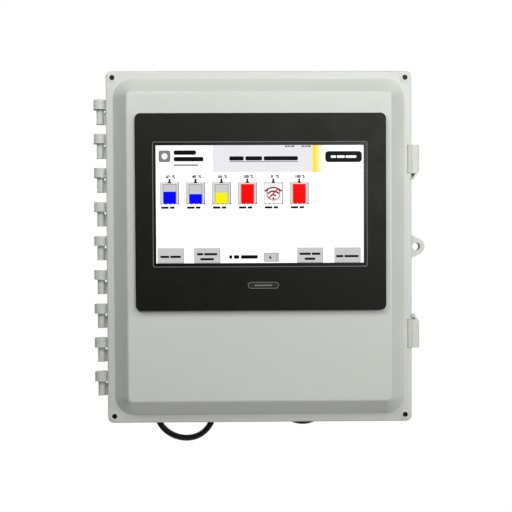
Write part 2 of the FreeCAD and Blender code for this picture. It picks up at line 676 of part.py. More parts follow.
def make_mounting_feet():
    feet = []
    screws = []
    for side in SIDES:
        for end in SIDES:
            tag = corner_tag(side, end)
            x = f"{side} * bolt_x"
            left, right = f"{x} - foot_half_width", f"{x} + foot_half_width"
            round_z = f"{end} * (foot_outer_z - foot_half_width)"
            heights = sorted((f"{end} * foot_inner_z", round_z), key=number)
            steps = sorted((f"{end} * foot_inner_z", f"{end} * foot_step_z"), key=number)
            tab = block("foot_tab_" + tag, left, right, *heights, "0", "foot_tab")
            tip = rod("foot_tip_" + tag, "foot_half_width", x, round_z, "0", "foot_tab")
            step = block("foot_step_" + tag, left, right, *steps, "foot_tab", "body_back")
            z = f"{end} * foot_screw_z"
            bolt = rod("foot_bolt_" + tag, "bolt_hole_r", x, f"{end} * bolt_z", "-1", "foot_tab + 1")
            sink = rod("foot_sink_" + tag, "foot_sink_r", x, z, "-1", "foot_sink_deep")
            hole = rod("foot_clear_" + tag, "foot_screw_r", x, z, "-1", "body_back + 1")
            feet.append(cut("foot_" + tag, fuse("foot_sum_" + tag, (tab, tip, step)), (bolt, sink, hole)))
            shank = rod("foot_shank_" + tag, "foot_screw_r", x, z, "foot_sink_deep", "foot_screw_tip")
            head = rod("foot_head_" + tag, "foot_screw_head_r", x, z, "0.4", "foot_sink_deep")
            screws.append(fuse("foot_screw_" + tag, (shank, head)))
    node("mounting_feet", group("mounting_feet_group", feet))
    node("mounting_foot_screws", group("mounting_foot_screws_group", screws))


# ---------------------------------------------------------------- cover and what rides on it


def make_cover_shell():
    """The cover moulding: flange, bevelled raised front, hollow, terminal cut-out and gasket groove."""
    shell = doc.addObject("PartDesign::Body", "cover_shell")
    flange = front_sketch(shell, "cover_flange", "parting")
    rounded_rectangle(flange, "cover_width", "cover_height", "cover_corner")
    pad(shell, flange, "flange_front - parting")
    dome = front_sketch(shell, "cover_dome", "flange_front")
    rounded_rectangle(dome, "dome_width", "dome_height", "dome_corner")
    pad(shell, dome, "plateau_front - flange_front", "-atan(bevel_run / (plateau_front - flange_front))")
    dress(
        shell, "Fillet", "cover_plateau_edge", lambda box: at_station(box, "plateau_front"), "plateau_edge"
    )
    dress(
        shell, "Fillet", "cover_flange_edge",
        lambda box: at_station(box, "flange_front")
        and outside(box, "cover_width / 2 - cover_corner - 0.1", "cover_height / 2 - cover_corner - 0.1"),
        "cover_edge",
    )
    recess = front_sketch(shell, "cover_recess", "parting")
    rounded_rectangle(recess, "opening_width", "opening_height", "recess_corner")
    pocket(shell, recess, "recess_depth")
    hollow = front_sketch(shell, "cover_hollow", "parting + recess_depth")
    rounded_rectangle(hollow, "opening_width", "opening_height", "recess_corner")
    depth = "(plateau_front - wall - parting - recess_depth)"
    pocket(shell, hollow, depth, f"-atan(hollow_run / {depth})")
    cutout = front_sketch(shell, "cover_cutout", "parting")
    rounded_rectangle(cutout, "cutout_width", "cutout_height", "2", "hmi_x", "hmi_z")
    pocket(shell, cutout, "plateau_front - parting + 1")
    groove = front_sketch(shell, "cover_groove", "parting")
    gasket_outline(groove)
    pocket(shell, groove, "gasket_deep")
    return shell


def gasket_outline(sketch):
    rounded_rectangle(
        sketch, "gasket_inner_width", "gasket_inner_height", "gasket_inner_corner", tag="inner"
    )
    rounded_rectangle(
        sketch, "gasket_inner_width + 2 * gasket_strip", "gasket_inner_height + 2 * gasket_strip",
        "gasket_inner_corner + gasket_strip", tag="outer",
    )


def latch_heights(end, tip="0"):
    """The low and high ends of a latch, less its tip, as rules, on the upper (1) or lower (-1) half."""
    return sorted((f"{end} * (latch_near + {tip})", f"{end} * latch_far"), key=number)


def make_cover():
    added = [make_cover_shell()]
    removed = []
    for index in range(HINGE_PAIRS):
        low = pair_rule(index)
        foot, top = f"{low} + wide_low", f"{low} + pair_tall"
        added.append(post(f"cover_barrel_{index}", "wide_r", "hinge_x", "parting", foot, top))
        added.append(
            block(f"cover_arm_{index}", "hinge_x + hinge_cup_r", "-cover_width / 2 + 0.5", foot, top,
                  "parting", "parting + narrow_r")
        )
        removed.append(
            post(f"cover_pin_hole_{index}", "hinge_pin_r + run_fit", "hinge_x", "parting",
                 f"{foot} - 1", top)
        )
        removed.append(
            post(f"cover_cup_{index}", "hinge_cup_r", "hinge_x", "parting", f"{top} - hinge_cup_deep",
                 f"{top} + 1")
        )
    for side in SIDES:
        for end in SIDES:
            tag = corner_tag(side, end)
            x, z = f"{side} * corner_screw_x", f"{end} * corner_screw_z"
            ring_front = "flange_front + corner_ring_rise"
            added.append(rod("corner_ring_" + tag, "corner_ring_r", x, z, "flange_front - 1", ring_front))
            floor = "flange_front - corner_bore_deep"
            removed.append(rod("corner_bore_" + tag, "corner_bore_r", x, z, floor, f"{ring_front} + 1"))
            removed.append(rod("corner_clear_" + tag, "corner_shank_r + gap", x, z, "parting - 1", floor))
    for tag, end in (("upper", 1), ("lower", -1)):
        low, high = latch_heights(end, "latch_tip")
        side = "latch_pin_x - latch_barrel_r - gap"
        floor = "latch_pin_station - latch_barrel_r - gap"
        removed.append(
            block(f"latch_notch_{tag}", side, "cover_width / 2 + 1", f"{low} - gap", f"{high} + gap", floor,
                  "flange_front + 1")
        )
        removed.append(
            post(f"latch_pin_hole_{tag}", "latch_pin_r", "latch_pin_x", "latch_pin_station",
                 f"{low} - latch_pin_bite", f"{high} + latch_pin_bite")
        )
    node("cover", cut("cover_cut", fuse("cover_sum", added), removed))


def make_cover_gasket():
    gasket = doc.addObject("PartDesign::Body", "gasket_body")
    strip = front_sketch(gasket, "gasket_strip_outline", "parting")
    gasket_outline(strip)
    pad(gasket, strip, "gasket_deep")
    node("cover_gasket", gasket)


def make_hinge_pins():
    pins = []
    for index in range(HINGE_PAIRS):
        low = pair_rule(index)
        seat = f"{low} + pair_tall - hinge_cup_deep + gap / 2"
        shank = post(f"pin_shank_{index}", "hinge_pin_r", "hinge_x", "parting",
                     f"{low} + hinge_pin_floor", seat)
        head = post(f"pin_head_{index}", "hinge_head_r", "hinge_x", "parting",
                    seat, f"{seat} + hinge_head_tall")
        pins.append(fuse(f"hinge_pin_{index}", (shank, head)))
    node("hinge_pins", group("hinge_pins_group", pins))


def make_corner_fasteners():
    screws = []
    inserts = []
    for side in SIDES:
        for end in SIDES:
            tag = corner_tag(side, end)
            x, z = f"{side} * corner_screw_x", f"{end} * corner_screw_z"
            crown = "flange_front - gap"
            neck = f"{crown} - corner_head_tall"
            head = rod("corner_head_" + tag, "corner_head_r", x, z, neck, crown)
            shank = rod("corner_shank_" + tag, "corner_shank_r", x, z, "parting + gap", neck)
            drive = rod("corner_drive_" + tag, "corner_head_r / 2", x, z, f"{crown} - 1.5", f"{crown} + 1")
            screw = fuse("corner_screw_sum_" + tag, (head, shank))
            screws.append(cut("corner_screw_" + tag, screw, (drive,)))
            sleeve = rod("insert_sleeve_" + tag, "insert_r", x, z, "parting - insert_long", "parting - gap")
            bore = rod("insert_bore_" + tag, "insert_bore_r", x, z, "parting - insert_long - 1", "parting")
            inserts.append(cut("insert_" + tag, sleeve, (bore,)))
    node("corner_screws", group("corner_screws_group", screws))
    node("corner_inserts", group("corner_inserts_group", inserts))


def make_latch(name, end):
    """A swing latch: a barrel on its pin, a front plate, a side plate and a hook behind the rim flange."""
    low, high = latch_heights(end)
    latch = doc.addObject("PartDesign::Body", name)
    section = plane_sketch(latch, name + "_section", "XY_Plane", low)
    inside = "latch_outer - latch_plate"
    hook_tip = "body_flange_width / 2 + latch_hook_reach"
    hook_front = "latch_back + latch_hook_deep"
    outline = (
        ("latch_pin_x", "latch_front - latch_front_plate"),
        ("latch_pin_x", "latch_pin_station + latch_barrel_r"),
        ("latch_pin_x + latch_barrel_r + 0.6", "latch_front"),
        ("latch_outer - 1.6", "latch_front"),
        ("latch_outer", "latch_front - 1.6"),
        ("latch_outer", "latch_back + 1"),
        ("latch_outer - 1", "latch_back"),
        (f"{hook_tip} + 1.6", "latch_back"),
        (hook_tip, "latch_back + 1.6"),
        (hook_tip, hook_front),
        (inside, hook_front),
        (inside, "latch_front - latch_front_plate"),
    )
    polygon(section, [(x, f"-({station})") for x, station in outline])
    pad(latch, section, f"({high}) - ({low})")
    barrel = plane_sketch(latch, name + "_barrel", "XY_Plane", low)
    circle(barrel, "latch_barrel_r", "latch_pin_x", "-latch_pin_station")
    pad(latch, barrel, f"({high}) - ({low})")
    bore = plane_sketch(latch, name + "_bore", "XY_Plane", low)
    circle(bore, "latch_pin_r + run_fit", "latch_pin_x", "-latch_pin_station")
    pocket(latch, bore, f"({high}) - ({low})")
    near = f"{end} * latch_near"
    slant = front_sketch(latch, name + "_slant", "latch_back - 1")
    polygon(slant, (
        ("latch_outer", f"{near} - {end}"),
        ("latch_outer + 1", f"{near} - {end}"),
        ("latch_outer + 1", f"{near} + {end} * latch_slant_long"),
        ("latch_outer", f"{near} + {end} * latch_slant_long"),
        ("latch_outer - latch_slant_wide", near),
        ("latch_outer - latch_slant_wide", f"{near} - {end}"),
    ))
    pocket(latch, slant, "latch_front - latch_back + 2")
    tip_front = "latch_pin_station - latch_barrel_r - 1"
    tip_side, tip_end = "latch_pin_x + latch_barrel_r + 0.1", f"{near} + {end} * latch_tip"
    tip = front_sketch(latch, name + "_tip", tip_front)
    polygon(tip, (
        ("latch_pin_x - latch_barrel_r - 1", f"{near} - {end}"),
        (tip_side, f"{near} - {end}"),
        (tip_side, f"{tip_end} - {end} * latch_hole_long"),
        (f"{tip_side} + latch_hole_wide", tip_end),
        ("latch_pin_x - latch_barrel_r - 1", tip_end),
    ))
    pocket(latch, tip, f"latch_front + 1 - ({tip_front})")
    node(name, latch)
    pin_low, pin_high = latch_heights(end, "latch_tip")
    node(name + "_pin", post(
        name + "_pin_bar", "latch_pin_r", "latch_pin_x", "latch_pin_station",
        f"{pin_low} - latch_pin_bite", f"{pin_high} + latch_pin_bite",
    ))


# ---------------------------------------------------------------- back panel, rail and devices


def make_back_panel():
    panel = doc.addObject("PartDesign::Body", "panel_body")
    outline = front_sketch(panel, "panel_outline", "panel_back")
    rounded_rectangle(outline, "panel_width", "panel_height", "panel_corner")
    pad(panel, outline, "panel_front - panel_back")
    holes = front_sketch(panel, "panel_holes", "panel_back")
    screws = []
    for side in SIDES:
        for end in SIDES:
            tag = corner_tag(side, end)
            x, z = f"{side} * panel_screw_x", f"{end} * panel_screw_z"
            circle(holes, "panel_screw_r", x, z, "hole_" + tag)
            shank = rod("panel_shank_" + tag, "panel_screw_r", x, z, "body_back + 7", "panel_front")
            head = rod("panel_head_" + tag, "panel_head_r", x, z, "panel_front",
                       "panel_front + panel_head_tall")
            screws.append(fuse("panel_screw_" + tag, (shank, head)))
    for tag, side in (("left", -1), ("right", 1)):
        circle(holes, "rail_screw_r", f"{side} * rail_screw_x", "rail_z", "rail_hole_" + tag)
    pocket(panel, holes, "panel_front - panel_back + 1")
    node("back_panel", panel)
    node("back_panel_screws", group("back_panel_screws_group", screws))


def make_din_rail():
    rail = doc.addObject("PartDesign::Body", "rail_body")
    section = plane_sketch(rail, "rail_section", "YZ_Plane", "-rail_half_length")
    flange_back = "panel_front + rail_rise - rail_sheet"
    flange_front = "panel_front + rail_rise"
    web_front = "panel_front + rail_sheet"
    web, lip = "rail_half_web", "rail_half_height"
    half = (
        (flange_front, lip),
        (flange_front, f"{web} - rail_sheet"),
        (web_front, f"{web} - rail_sheet"),
    )
    other = ((flange_back, lip), (flange_back, web), ("panel_front", web))
    outline = [(station, f"rail_z + {height}") for station, height in half]
    outline += [(station, f"rail_z - ({height})") for station, height in reversed(half)]
    outline += [(station, f"rail_z - ({height})") for station, height in other]
    outline += [(station, f"rail_z + {height}") for station, height in reversed(other)]
    polygon(section, [(f"-({station})", height) for station, height in outline])
    pad(rail, section, "2 * rail_half_length")
    holes = front_sketch(rail, "rail_holes", "panel_front - 1")
    screws = []
    for tag, side in (("left", -1), ("right", 1)):
        x = f"{side} * rail_screw_x"
        circle(holes, "rail_screw_r", x, "rail_z", "hole_" + tag)
        shank = rod("rail_shank_" + tag, "rail_screw_r", x, "rail_z", "panel_back - 4", web_front)
        head = rod("rail_head_" + tag, "rail_head_r", x, "rail_z", web_front, f"{web_front} + 2.4")
        screws.append(fuse("rail_screw_" + tag, (shank, head)))
    pocket(rail, holes, "rail_sheet + 2")
    node("din_rail", rail)
    node("din_rail_screws", group("din_rail_screws_group", screws))


def rail_slot(name, left, right):
    """The space that a device leaves for the rail, with hooks behind the rail's two lips."""
    lips = block(
        name + "_lips", f"{left} - 1", f"{right} + 1",
        "rail_z - rail_half_height - slip", "rail_z + rail_half_height + slip",
        "panel_front + rail_rise - rail_sheet - slip", "panel_front + rail_rise + slip",
    )
    web = block(
        name + "_web", f"{left} - 1", f"{right} + 1",
        "rail_z - rail_half_web - slip", "rail_z + rail_half_web + slip",
        "device_back - 1", "panel_front + rail_rise + slip",
    )
    return [lips, web]


def make_power_supply():
    left, right = "supply_left", "supply_left + supply_width"
    low, high = "rail_z - supply_half_tall", "rail_z + supply_half_tall"
    case = block("supply_case", left, right, low, high, "device_back", "supply_front")
    removed = rail_slot("supply_slot", left, right)
    for tag, edge, step in (("low", low, 1), ("high", high, -1)):
        heights = sorted((f"{edge} - {step}", f"{edge} + {step} * 13"), key=number)
        removed.append(
            block("supply_step_" + tag, f"{left} - 1", f"{right} + 1", *heights, "supply_front - 11",
                  "supply_front + 1")
        )
    for index in range(VENT_COUNT):
        x = f"{left} + 6 + {index} * 4.4"
        for tag, edge in (("low", low), ("high", high)):
            removed.append(
                block(f"supply_vent_{tag}_{index}", x, f"{x} + 2.2", f"{edge} - 1.5", f"{edge} + 1.5",
                      "50", "115")
            )
    shell = cut("supply_shell", case, removed)
    screws = []
    for tag, edge in (("low", f"{low} + 6.5"), ("high", f"{high} - 6.5")):
        for index in range(5):
            x = f"{left} + 9 + {index} * 8"
            screws.append(
                rod(f"supply_terminal_{tag}_{index}", "2.6", x, edge,
                    "supply_front - 12", "supply_front - 10")
            )
    node("power_supply", fuse("power_supply_sum", [shell] + screws))


def make_controller():
    left, right = "controller_left", "controller_left + controller_width"
    low, high = "rail_z - controller_half_tall", "rail_z + controller_half_tall"
    case = block("controller_case", left, right, low, high, "device_back", "controller_front")
    removed = rail_slot("controller_slot", left, right)
    for tag, edge, step in (("low", low, 1), ("high", high, -1)):
        heights = sorted((f"{edge} - {step}", f"{edge} + {step} * 14"), key=number)
        removed.append(
            block("controller_step_" + tag, f"{left} - 1", f"{right} + 1", *heights, "controller_front - 22",
                  "controller_front + 1")
        )
    removed.append(
        block("controller_display", f"{left} + 14", f"{left} + 54", "rail_z", "rail_z + 20",
              "controller_front - 1.2", "controller_front + 1")
    )
    shell = cut("controller_shell", case, removed)
    raised = []
    for tag, edge, step in (("low", low, 1), ("high", high, -1)):
        heights = sorted((f"{edge} + {step} * 2", f"{edge} + {step} * 12"), key=number)
        raised.append(
            block("controller_plug_" + tag, f"{left} + 6", f"{right} - 6", *heights, "controller_front - 23",
                  "controller_front - 12")
        )
    for index in range(4):
        z = f"rail_z + 17 - {index} * 5"
        raised.append(
            rod(f"controller_lamp_{index}", "1.4", f"{left} + 66", z, "controller_front - 1",
                "controller_front + 0.6")
        )
    node("controller", fuse("controller_sum", [shell] + raised))


def make_circuit_breaker():
    left, right = "breaker_left", "breaker_left + breaker_width"
    middle = "(breaker_left + breaker_width / 2)"
    case = block(
        "breaker_case", left, right, "rail_z - breaker_half_tall", "rail_z + breaker_half_tall",
        "device_back", "breaker_front",
    )
    nose = block(
        "breaker_nose", left, right, "rail_z - breaker_nose_half", "rail_z + breaker_nose_half",
        "breaker_front - 1", "breaker_nose_front",
    )
    removed = rail_slot("breaker_slot", left, right)
    half = "(toggle_width / 2 + 0.5)"
    removed.append(
        block("toggle_well", f"{middle} - {half}", f"{middle} + {half}", "rail_z - 12", "rail_z + 12",
              "toggle_station - toggle_barrel_r - 1", "breaker_nose_front + 1")
    )
    removed.append(
        axle("toggle_pin_hole", "toggle_pin_r", f"{left} + 1", f"{right} - 1", "toggle_station", "rail_z")
    )
    for tag, end in (("low", -1), ("high", 1)):
        z = f"rail_z + {end} * (breaker_half_tall - 9)"
        removed.append(
            rod("breaker_screw_well_" + tag, "3.2", middle, z, "breaker_front - 3", "breaker_front + 1")
        )
    node("circuit_breaker", cut("circuit_breaker_cut", fuse("breaker_sum", (case, nose)), removed))
    pin = axle("breaker_pin_bar", "toggle_pin_r", f"{left} + 1", f"{right} - 1", "toggle_station", "rail_z")
    node("breaker_pin", pin)


def make_breaker_toggle():
    """The breaker's lever, standing 40 degrees up from straight forward, which is its on position."""
    middle = "(breaker_left + breaker_width / 2)"
    left, right = f"{middle} - toggle_width / 2", f"{middle} + toggle_width / 2"
    barrel = axle("toggle_barrel", "toggle_barrel_r", left, right, "toggle_station", "rail_z")
    lever = doc.addObject("Part::Box", "toggle_lever")
    bind(lever, "Length", "toggle_width")
    bind(lever, "Width", "toggle_thick")
    bind(lever, "Height", "toggle_lever")
    lever.Placement.Rotation = FreeCAD.Rotation(FreeCAD.Vector(1, 0, 0), 50)
    place(
        lever, left,
        "-toggle_station - toggle_thick / 2 * cos(50)",
        "rail_z - toggle_thick / 2 * sin(50)",
    )
    bore = axle("toggle_bore", "toggle_pin_r + run_fit", f"{left} - 1", f"{right} + 1",
                "toggle_station", "rail_z")
    node("breaker_toggle", cut("breaker_toggle_cut", fuse("toggle_sum", (barrel, lever)), (bore,)))


def terminal_block(tag, left, thick, front):
    """One slim rail terminal with a notched head, or an end stop of the same family."""
    right = f"{left} + {thick}"
    low, high = "rail_z - terminal_half_tall", "rail_z + terminal_half_tall"
    case = block("terminal_case_" + tag, left, right, low, high, "device_back", front)
    removed = rail_slot("terminal_slot_" + tag, left, right)
    for end, edge in ((-1, low), (1, high)):
        side = "low" if end < 0 else "high"
        heights = sorted((f"{edge} + {end}", f"{edge} - {end} * 8"), key=number)
        removed.append(
            block(f"terminal_step_{side}_{tag}", f"{left} - 1", f"{right} + 1", *heights, f"{front} - 14",
                  f"{front} + 1")
        )
    return cut("terminal_" + tag, case, removed)


def make_terminals():
    blocks = []
    for index in range(TERMINAL_COUNT):
        left = f"terminal_left + {index} * terminal_pitch"
        blocks.append(terminal_block(str(index), left, "terminal_thick", "terminal_front"))
    node("terminal_blocks", group("terminal_blocks_group", blocks))
    before = "terminal_left - stop_thick"
    after = f"terminal_left + {TERMINAL_COUNT} * terminal_pitch"
    stops = (
        terminal_block("stop_left", f"{before} - slip", "stop_thick", "terminal_front - 14"),
        terminal_block("stop_right", after, "stop_thick", "terminal_front - 14"),
    )
    node("end_stops", group("end_stops_group", stops))


# ---------------------------------------------------------------- touch terminal


def make_bezel():
    bezel = doc.addObject("PartDesign::Body", "bezel_body")
    back = "plateau_front + hmi_gasket_thick"
    window_x, window_z = "hmi_x + window_x", "hmi_z + window_z"
    outline = front_sketch(bezel, "bezel_outline", back)
    rounded_rectangle(outline, "bezel_width", "bezel_height", "bezel_corner", "hmi_x", "hmi_z")
    pad(bezel, outline, f"bezel_front - ({back})")
    dress(bezel, "Fillet", "bezel_front_edge", lambda box: at_station(box, "bezel_front"), "bezel_edge")
    window = front_sketch(bezel, "bezel_window", back)
    rounded_rectangle(window, "window_width", "window_height", "1.5", window_x, window_z)
    pocket(bezel, window, f"bezel_front - ({back}) + 1")
    dress(
        bezel, "Chamfer", "bezel_window_edge",
        lambda box: at_station(box, "bezel_front")
        and box.XMin > number(f"{window_x} - window_width / 2 - 0.1")
        and box.XMax < number(f"{window_x} + window_width / 2 + 0.1"),
        "window_chamfer",
    )
    seats = (
        ("overlay", "overlay_margin + gap", "overlay_front"),
        ("display", "display_margin + gap", "display_front + gap / 2"),
    )
    for tag, margin, front in seats:
        seat = front_sketch(bezel, f"bezel_{tag}_seat", back)
        wide, tall = f"window_width + 2 * ({margin})", f"window_height + 2 * ({margin})"
        rounded_rectangle(seat, wide, tall, "1.5", window_x, window_z)
        pocket(bezel, seat, f"{front} - ({back})")
    node("hmi_bezel", bezel)


def window_panel(label, margin, back, front):
    """A flat rectangular layer behind the bezel's window."""
    panel = doc.addObject("PartDesign::Body", label + "_body")
    outline = front_sketch(panel, label + "_outline", back)
    rounded_rectangle(
        outline, f"window_width + 2 * {margin}", f"window_height + 2 * {margin}", "1",
        "hmi_x + window_x", "hmi_z + window_z",
    )
    pad(panel, outline, f"{front} - {back}")
    node(label, panel)


def make_hmi_gasket():
    gasket = doc.addObject("PartDesign::Body", "hmi_gasket_body")
    outline = front_sketch(gasket, "hmi_gasket_outline", "plateau_front")
    rounded_rectangle(outline, "bezel_width - 4", "bezel_height - 4", "4.3", "hmi_x", "hmi_z", "outer")
    rounded_rectangle(outline, "cutout_width + 2", "cutout_height + 2", "3", "hmi_x", "hmi_z", "inner")
    pad(gasket, outline, "hmi_gasket_thick")
    node("hmi_gasket", gasket)


def make_rear_housing():
    case = doc.addObject("PartDesign::Body", "case_body")
    front = "plateau_front + hmi_gasket_thick"
    outline = front_sketch(case, "case_outline", "case_back")
    rounded_rectangle(outline, "case_width", "case_height", "case_corner", "hmi_x", "hmi_z")
    pad(case, outline, f"{front} - case_back")
    hollow = front_sketch(case, "case_hollow", "case_back + case_wall")
    rounded_rectangle(
        hollow, "case_width - 2 * case_wall", "case_height - 2 * case_wall", "case_corner - case_wall",
        "hmi_x", "hmi_z",
    )
    pocket(case, hollow, f"{front} - case_back")
    stands = [
        rod(f"case_stand_{index}", "3.5", f"hmi_x + {side} * (board_width / 2 - 8)",
            f"hmi_z + {end} * (board_height / 2 - 8)", "case_back + case_wall - 0.5", "board_back")
        for index, (side, end) in enumerate((side, end) for side in SIDES for end in SIDES)
    ]
    vents = [
        block(f"case_vent_{index}", f"hmi_x - 66 + {index} * 12", f"hmi_x - 60 + {index} * 12", "hmi_z + 30",
              "hmi_z + 60", "case_back - 1", "case_back + case_wall + 1")
        for index in range(12)
    ]
    node("hmi_rear_housing", cut("hmi_rear_housing_cut", fuse("case_sum", [case] + stands), vents))


def make_main_board():
    back, front = "board_back", "board_back + board_thick"
    sheet_part = block(
        "board_sheet", "hmi_x - board_width / 2", "hmi_x + board_width / 2",
        "hmi_z - board_height / 2", "hmi_z + board_height / 2", back, front,
    )
    # Each chip stands on the board's rear face: middle sideways, middle upwards, width, height, rise.
    chips = (
        (-40, 20, 34, 34, 3),
        (10, 22, 16, 22, 2),
        (36, 22, 16, 22, 2),
        (-40, -36, 20, 20, 2.5),
        (70, -30, 28, 18, 6),
    )
    parts = [sheet_part]
    for index, (x, z, width, height, rise) in enumerate(chips):
        parts.append(
            block(f"board_chip_{index}", f"hmi_x + {x} - {width} / 2", f"hmi_x + {x} + {width} / 2",
                  f"hmi_z + {z} - {height} / 2", f"hmi_z + {z} + {height} / 2",
                  f"{back} - {rise}", f"{back} + 0.2")
        )
    node("hmi_main_board", fuse("hmi_main_board_sum", parts))


def make_clamps():
    clamps = []
    screws = []
    for end in SIDES:
        for index, place_x in enumerate(CLAMP_PLACES):
            tag = ("low" if end < 0 else "high") + f"_{index}"
            x = f"hmi_x + {place_x}"
            root = f"hmi_z + {end} * case_height / 2"
            heights = sorted((root, f"{root} + {end} * clamp_tall"), key=number)
            middle = f"{root} + {end} * clamp_tall / 2"
            arm = block("clamp_arm_" + tag, f"{x} - clamp_half_width", f"{x} + clamp_half_width", *heights,
                        "clamp_back", "clamp_front")
            bore = rod("clamp_bore_" + tag, "clamp_screw_r", x, middle, "clamp_back - 1", "clamp_front + 1")
            clamps.append(cut("clamp_" + tag, arm, (bore,)))
            shank = rod("clamp_shank_" + tag, "clamp_screw_r", x, middle, "clamp_back - 6",
                        "plateau_front - wall")
            head = rod("clamp_head_" + tag, "clamp_head_r", x, middle, "clamp_back - 9", "clamp_back - 6")
            screws.append(fuse("clamp_screw_" + tag, (shank, head)))
    node("hmi_clamps", group("hmi_clamps_group", clamps))
    node("hmi_clamp_screws", group("hmi_clamp_screws_group", screws))


def port(name, x, width, deep, back, front, recess):
    """A connector under the terminal's rear housing, with a shallow recess in its underside."""
    under = "hmi_z - case_height / 2"
    shell = block(name + "_shell", f"hmi_x + {x}", f"hmi_x + {x + width}", f"{under} - {deep}", under,
                  back, front)
    rim = 1.5
    hollow = block(
        name + "_recess", f"hmi_x + {x + rim}", f"hmi_x + {x + width - rim}", f"{under} - {deep} - 1",
        f"{under} - {deep} + {recess}", f"{back} + {rim}", f"{front} - {rim}",
    )
    return cut(name + "_port", shell, (hollow,))


def make_ports():
    node("hmi_power_connector", port("power", -88, 24, 9, "196", "205", 2.5))
    lan = (
        port("lan_left", -26, 17, 6, "196", "210", 3.5),
        port("lan_right", -8, 17, 6, "196", "210", 3.5),
    )
    node("hmi_network_ports", group("hmi_network_ports_group", lan))
    node("hmi_usb_port", port("usb", 12, 14, 5, "197", "204", 3))
    node("hmi_serial_port", port("serial", 44, 32, 6, "196", "208", 3))


def make_badge():
    badge = doc.addObject("PartDesign::Body", "badge_body")
    outline = front_sketch(badge, "badge_outline", "bezel_front")
    corner = "badge_height / 2 - 0.2"
    rounded_rectangle(outline, "badge_width", "badge_height", corner, "hmi_x + badge_x", "hmi_z + badge_z")
    pad(badge, outline, "badge_thick")
    node("badge", badge)


# ---------------------------------------------------------------- cable glands and cord


def make_gland(tag, x):
    """A cable gland: body through the wall, locknut inside, sealing nut and rubber seal outside."""
    at = (x, "gland_station")
    collar_low = "pad_low - gland_collar"
    nut_top = f"{collar_low} - gap"
    neck_low = "gland_mouth + 6"
    body = fuse(f"{tag}_gland_sum", (
        post(f"{tag}_gland_thread", "gland_r", *at, "pad_low", "pad_top + locknut_tall + 3"),
        hexagon(f"{tag}_gland_collar", "gland_hex_r", *at, collar_low, "pad_low"),
        post(f"{tag}_gland_neck", "gland_neck_r", *at, neck_low, collar_low),
    ))
    bore = post(f"{tag}_gland_bore", "gland_bore_r", *at, f"{neck_low} - 1", "pad_top + locknut_tall + 4")
    node(f"{tag}_gland_body", cut(f"{tag}_gland_cut", body, (bore,)))
    nut = hexagon(f"{tag}_locknut_hex", "locknut_r", *at, "pad_top", "pad_top + locknut_tall")
    thread = post(f"{tag}_locknut_bore", "gland_r", *at, "pad_top - 1", "pad_top + locknut_tall + 1")
    node(f"{tag}_gland_locknut", cut(f"{tag}_locknut_cut", nut, (thread,)))
    shoulder = "gland_mouth + 5"
    cap = fuse(f"{tag}_nut_sum", (
        hexagon(f"{tag}_nut_hex", "gland_hex_r", *at, shoulder, nut_top),
        taper(f"{tag}_nut_nose", "gland_seal_r + 2.3", "gland_hex_r - 1.5", *at, "gland_mouth", shoulder),
    ))
    node(f"{tag}_gland_nut", cut(f"{tag}_nut_cut", cap, (
        post(f"{tag}_nut_thread", "gland_neck_r", *at, neck_low, f"{nut_top} + 1"),
        post(f"{tag}_nut_mouth", "gland_seal_r", *at, "gland_mouth - 1", f"{neck_low} + 1"),
    )))
    node(f"{tag}_gland_seal", post(f"{tag}_seal_disc", "gland_seal_r", *at, "gland_mouth", neck_low))


def make_spare_gland():
    at = ("spare_x", "spare_station")
    collar_low = "spare_pad_low - 5.5"
    neck_low = f"{collar_low} - 7"
    node("spare_gland_body", fuse("spare_gland_sum", (
        post("spare_thread", "spare_r", *at, "spare_pad_low", "spare_pad_top + 9"),
        hexagon("spare_collar", "spare_hex_r", *at, collar_low, "spare_pad_low"),
        post("spare_neck", "spare_neck_r", *at, neck_low, collar_low),
    )))
    nut = hexagon("spare_locknut_hex", "spare_hex_r + 2", *at, "spare_pad_top", "spare_pad_top + 6")
    thread = post("spare_locknut_bore", "spare_r", *at, "spare_pad_top - 1", "spare_pad_top + 7")
    node("spare_gland_locknut", cut("spare_locknut_cut", nut, (thread,)))
    ball = doc.addObject("Part::Sphere", "spare_ball")
    bind(ball, "Radius", "spare_dome_r")
    place(ball, "spare_x", "-spare_station", "spare_low + spare_dome_r")
    cap_top = f"{collar_low} - gap"
    barrel = post("spare_barrel", "spare_cap_r", *at, "spare_low - 1", cap_top)
    dome = doc.addObject("Part::Common", "spare_dome")
    dome.Base = barrel
    dome.Tool = ball
    well = post("spare_well", "spare_neck_r", *at, neck_low, f"{cap_top} + 1")
    node("spare_gland_cap", cut("spare_cap_cut", dome, (well,)))


def cord_points():
    """The cord's route in the part's frame."""
    middle = number("(gland_left_x + gland_right_x) / 2")
    station = number("gland_station")
    return [FreeCAD.Vector(middle + x, -station - forward, z) for x, forward, z in CORD_ROUTE]


def cord_edges(points):
    """Straight runs joined by tangent arcs, each as large as its two runs allow."""
    edges = []
    radii = []
    start = points[0]
    for before, corner, after in zip(points, points[1:], points[2:]):
        back = before - corner
        ahead = after - corner
        reach = number("arc_share") * min(back.Length, ahead.Length)
        turn = math.pi - back.getAngle(ahead)
        radius = reach / math.tan(turn / 2)
        back.normalize()
        ahead.normalize()
        inward = back + ahead
        inward.normalize()
        first = corner + back * reach
        last = corner + ahead * reach
        middle = corner + inward * (radius / math.cos(turn / 2) - radius)
        edges.append(Part.LineSegment(start, first).toShape())
        edges.append(Part.Arc(first, middle, last).toShape())
        radii.append(radius)
        start = last
    edges.append(Part.LineSegment(start, points[-1]).toShape())
    return edges, radii


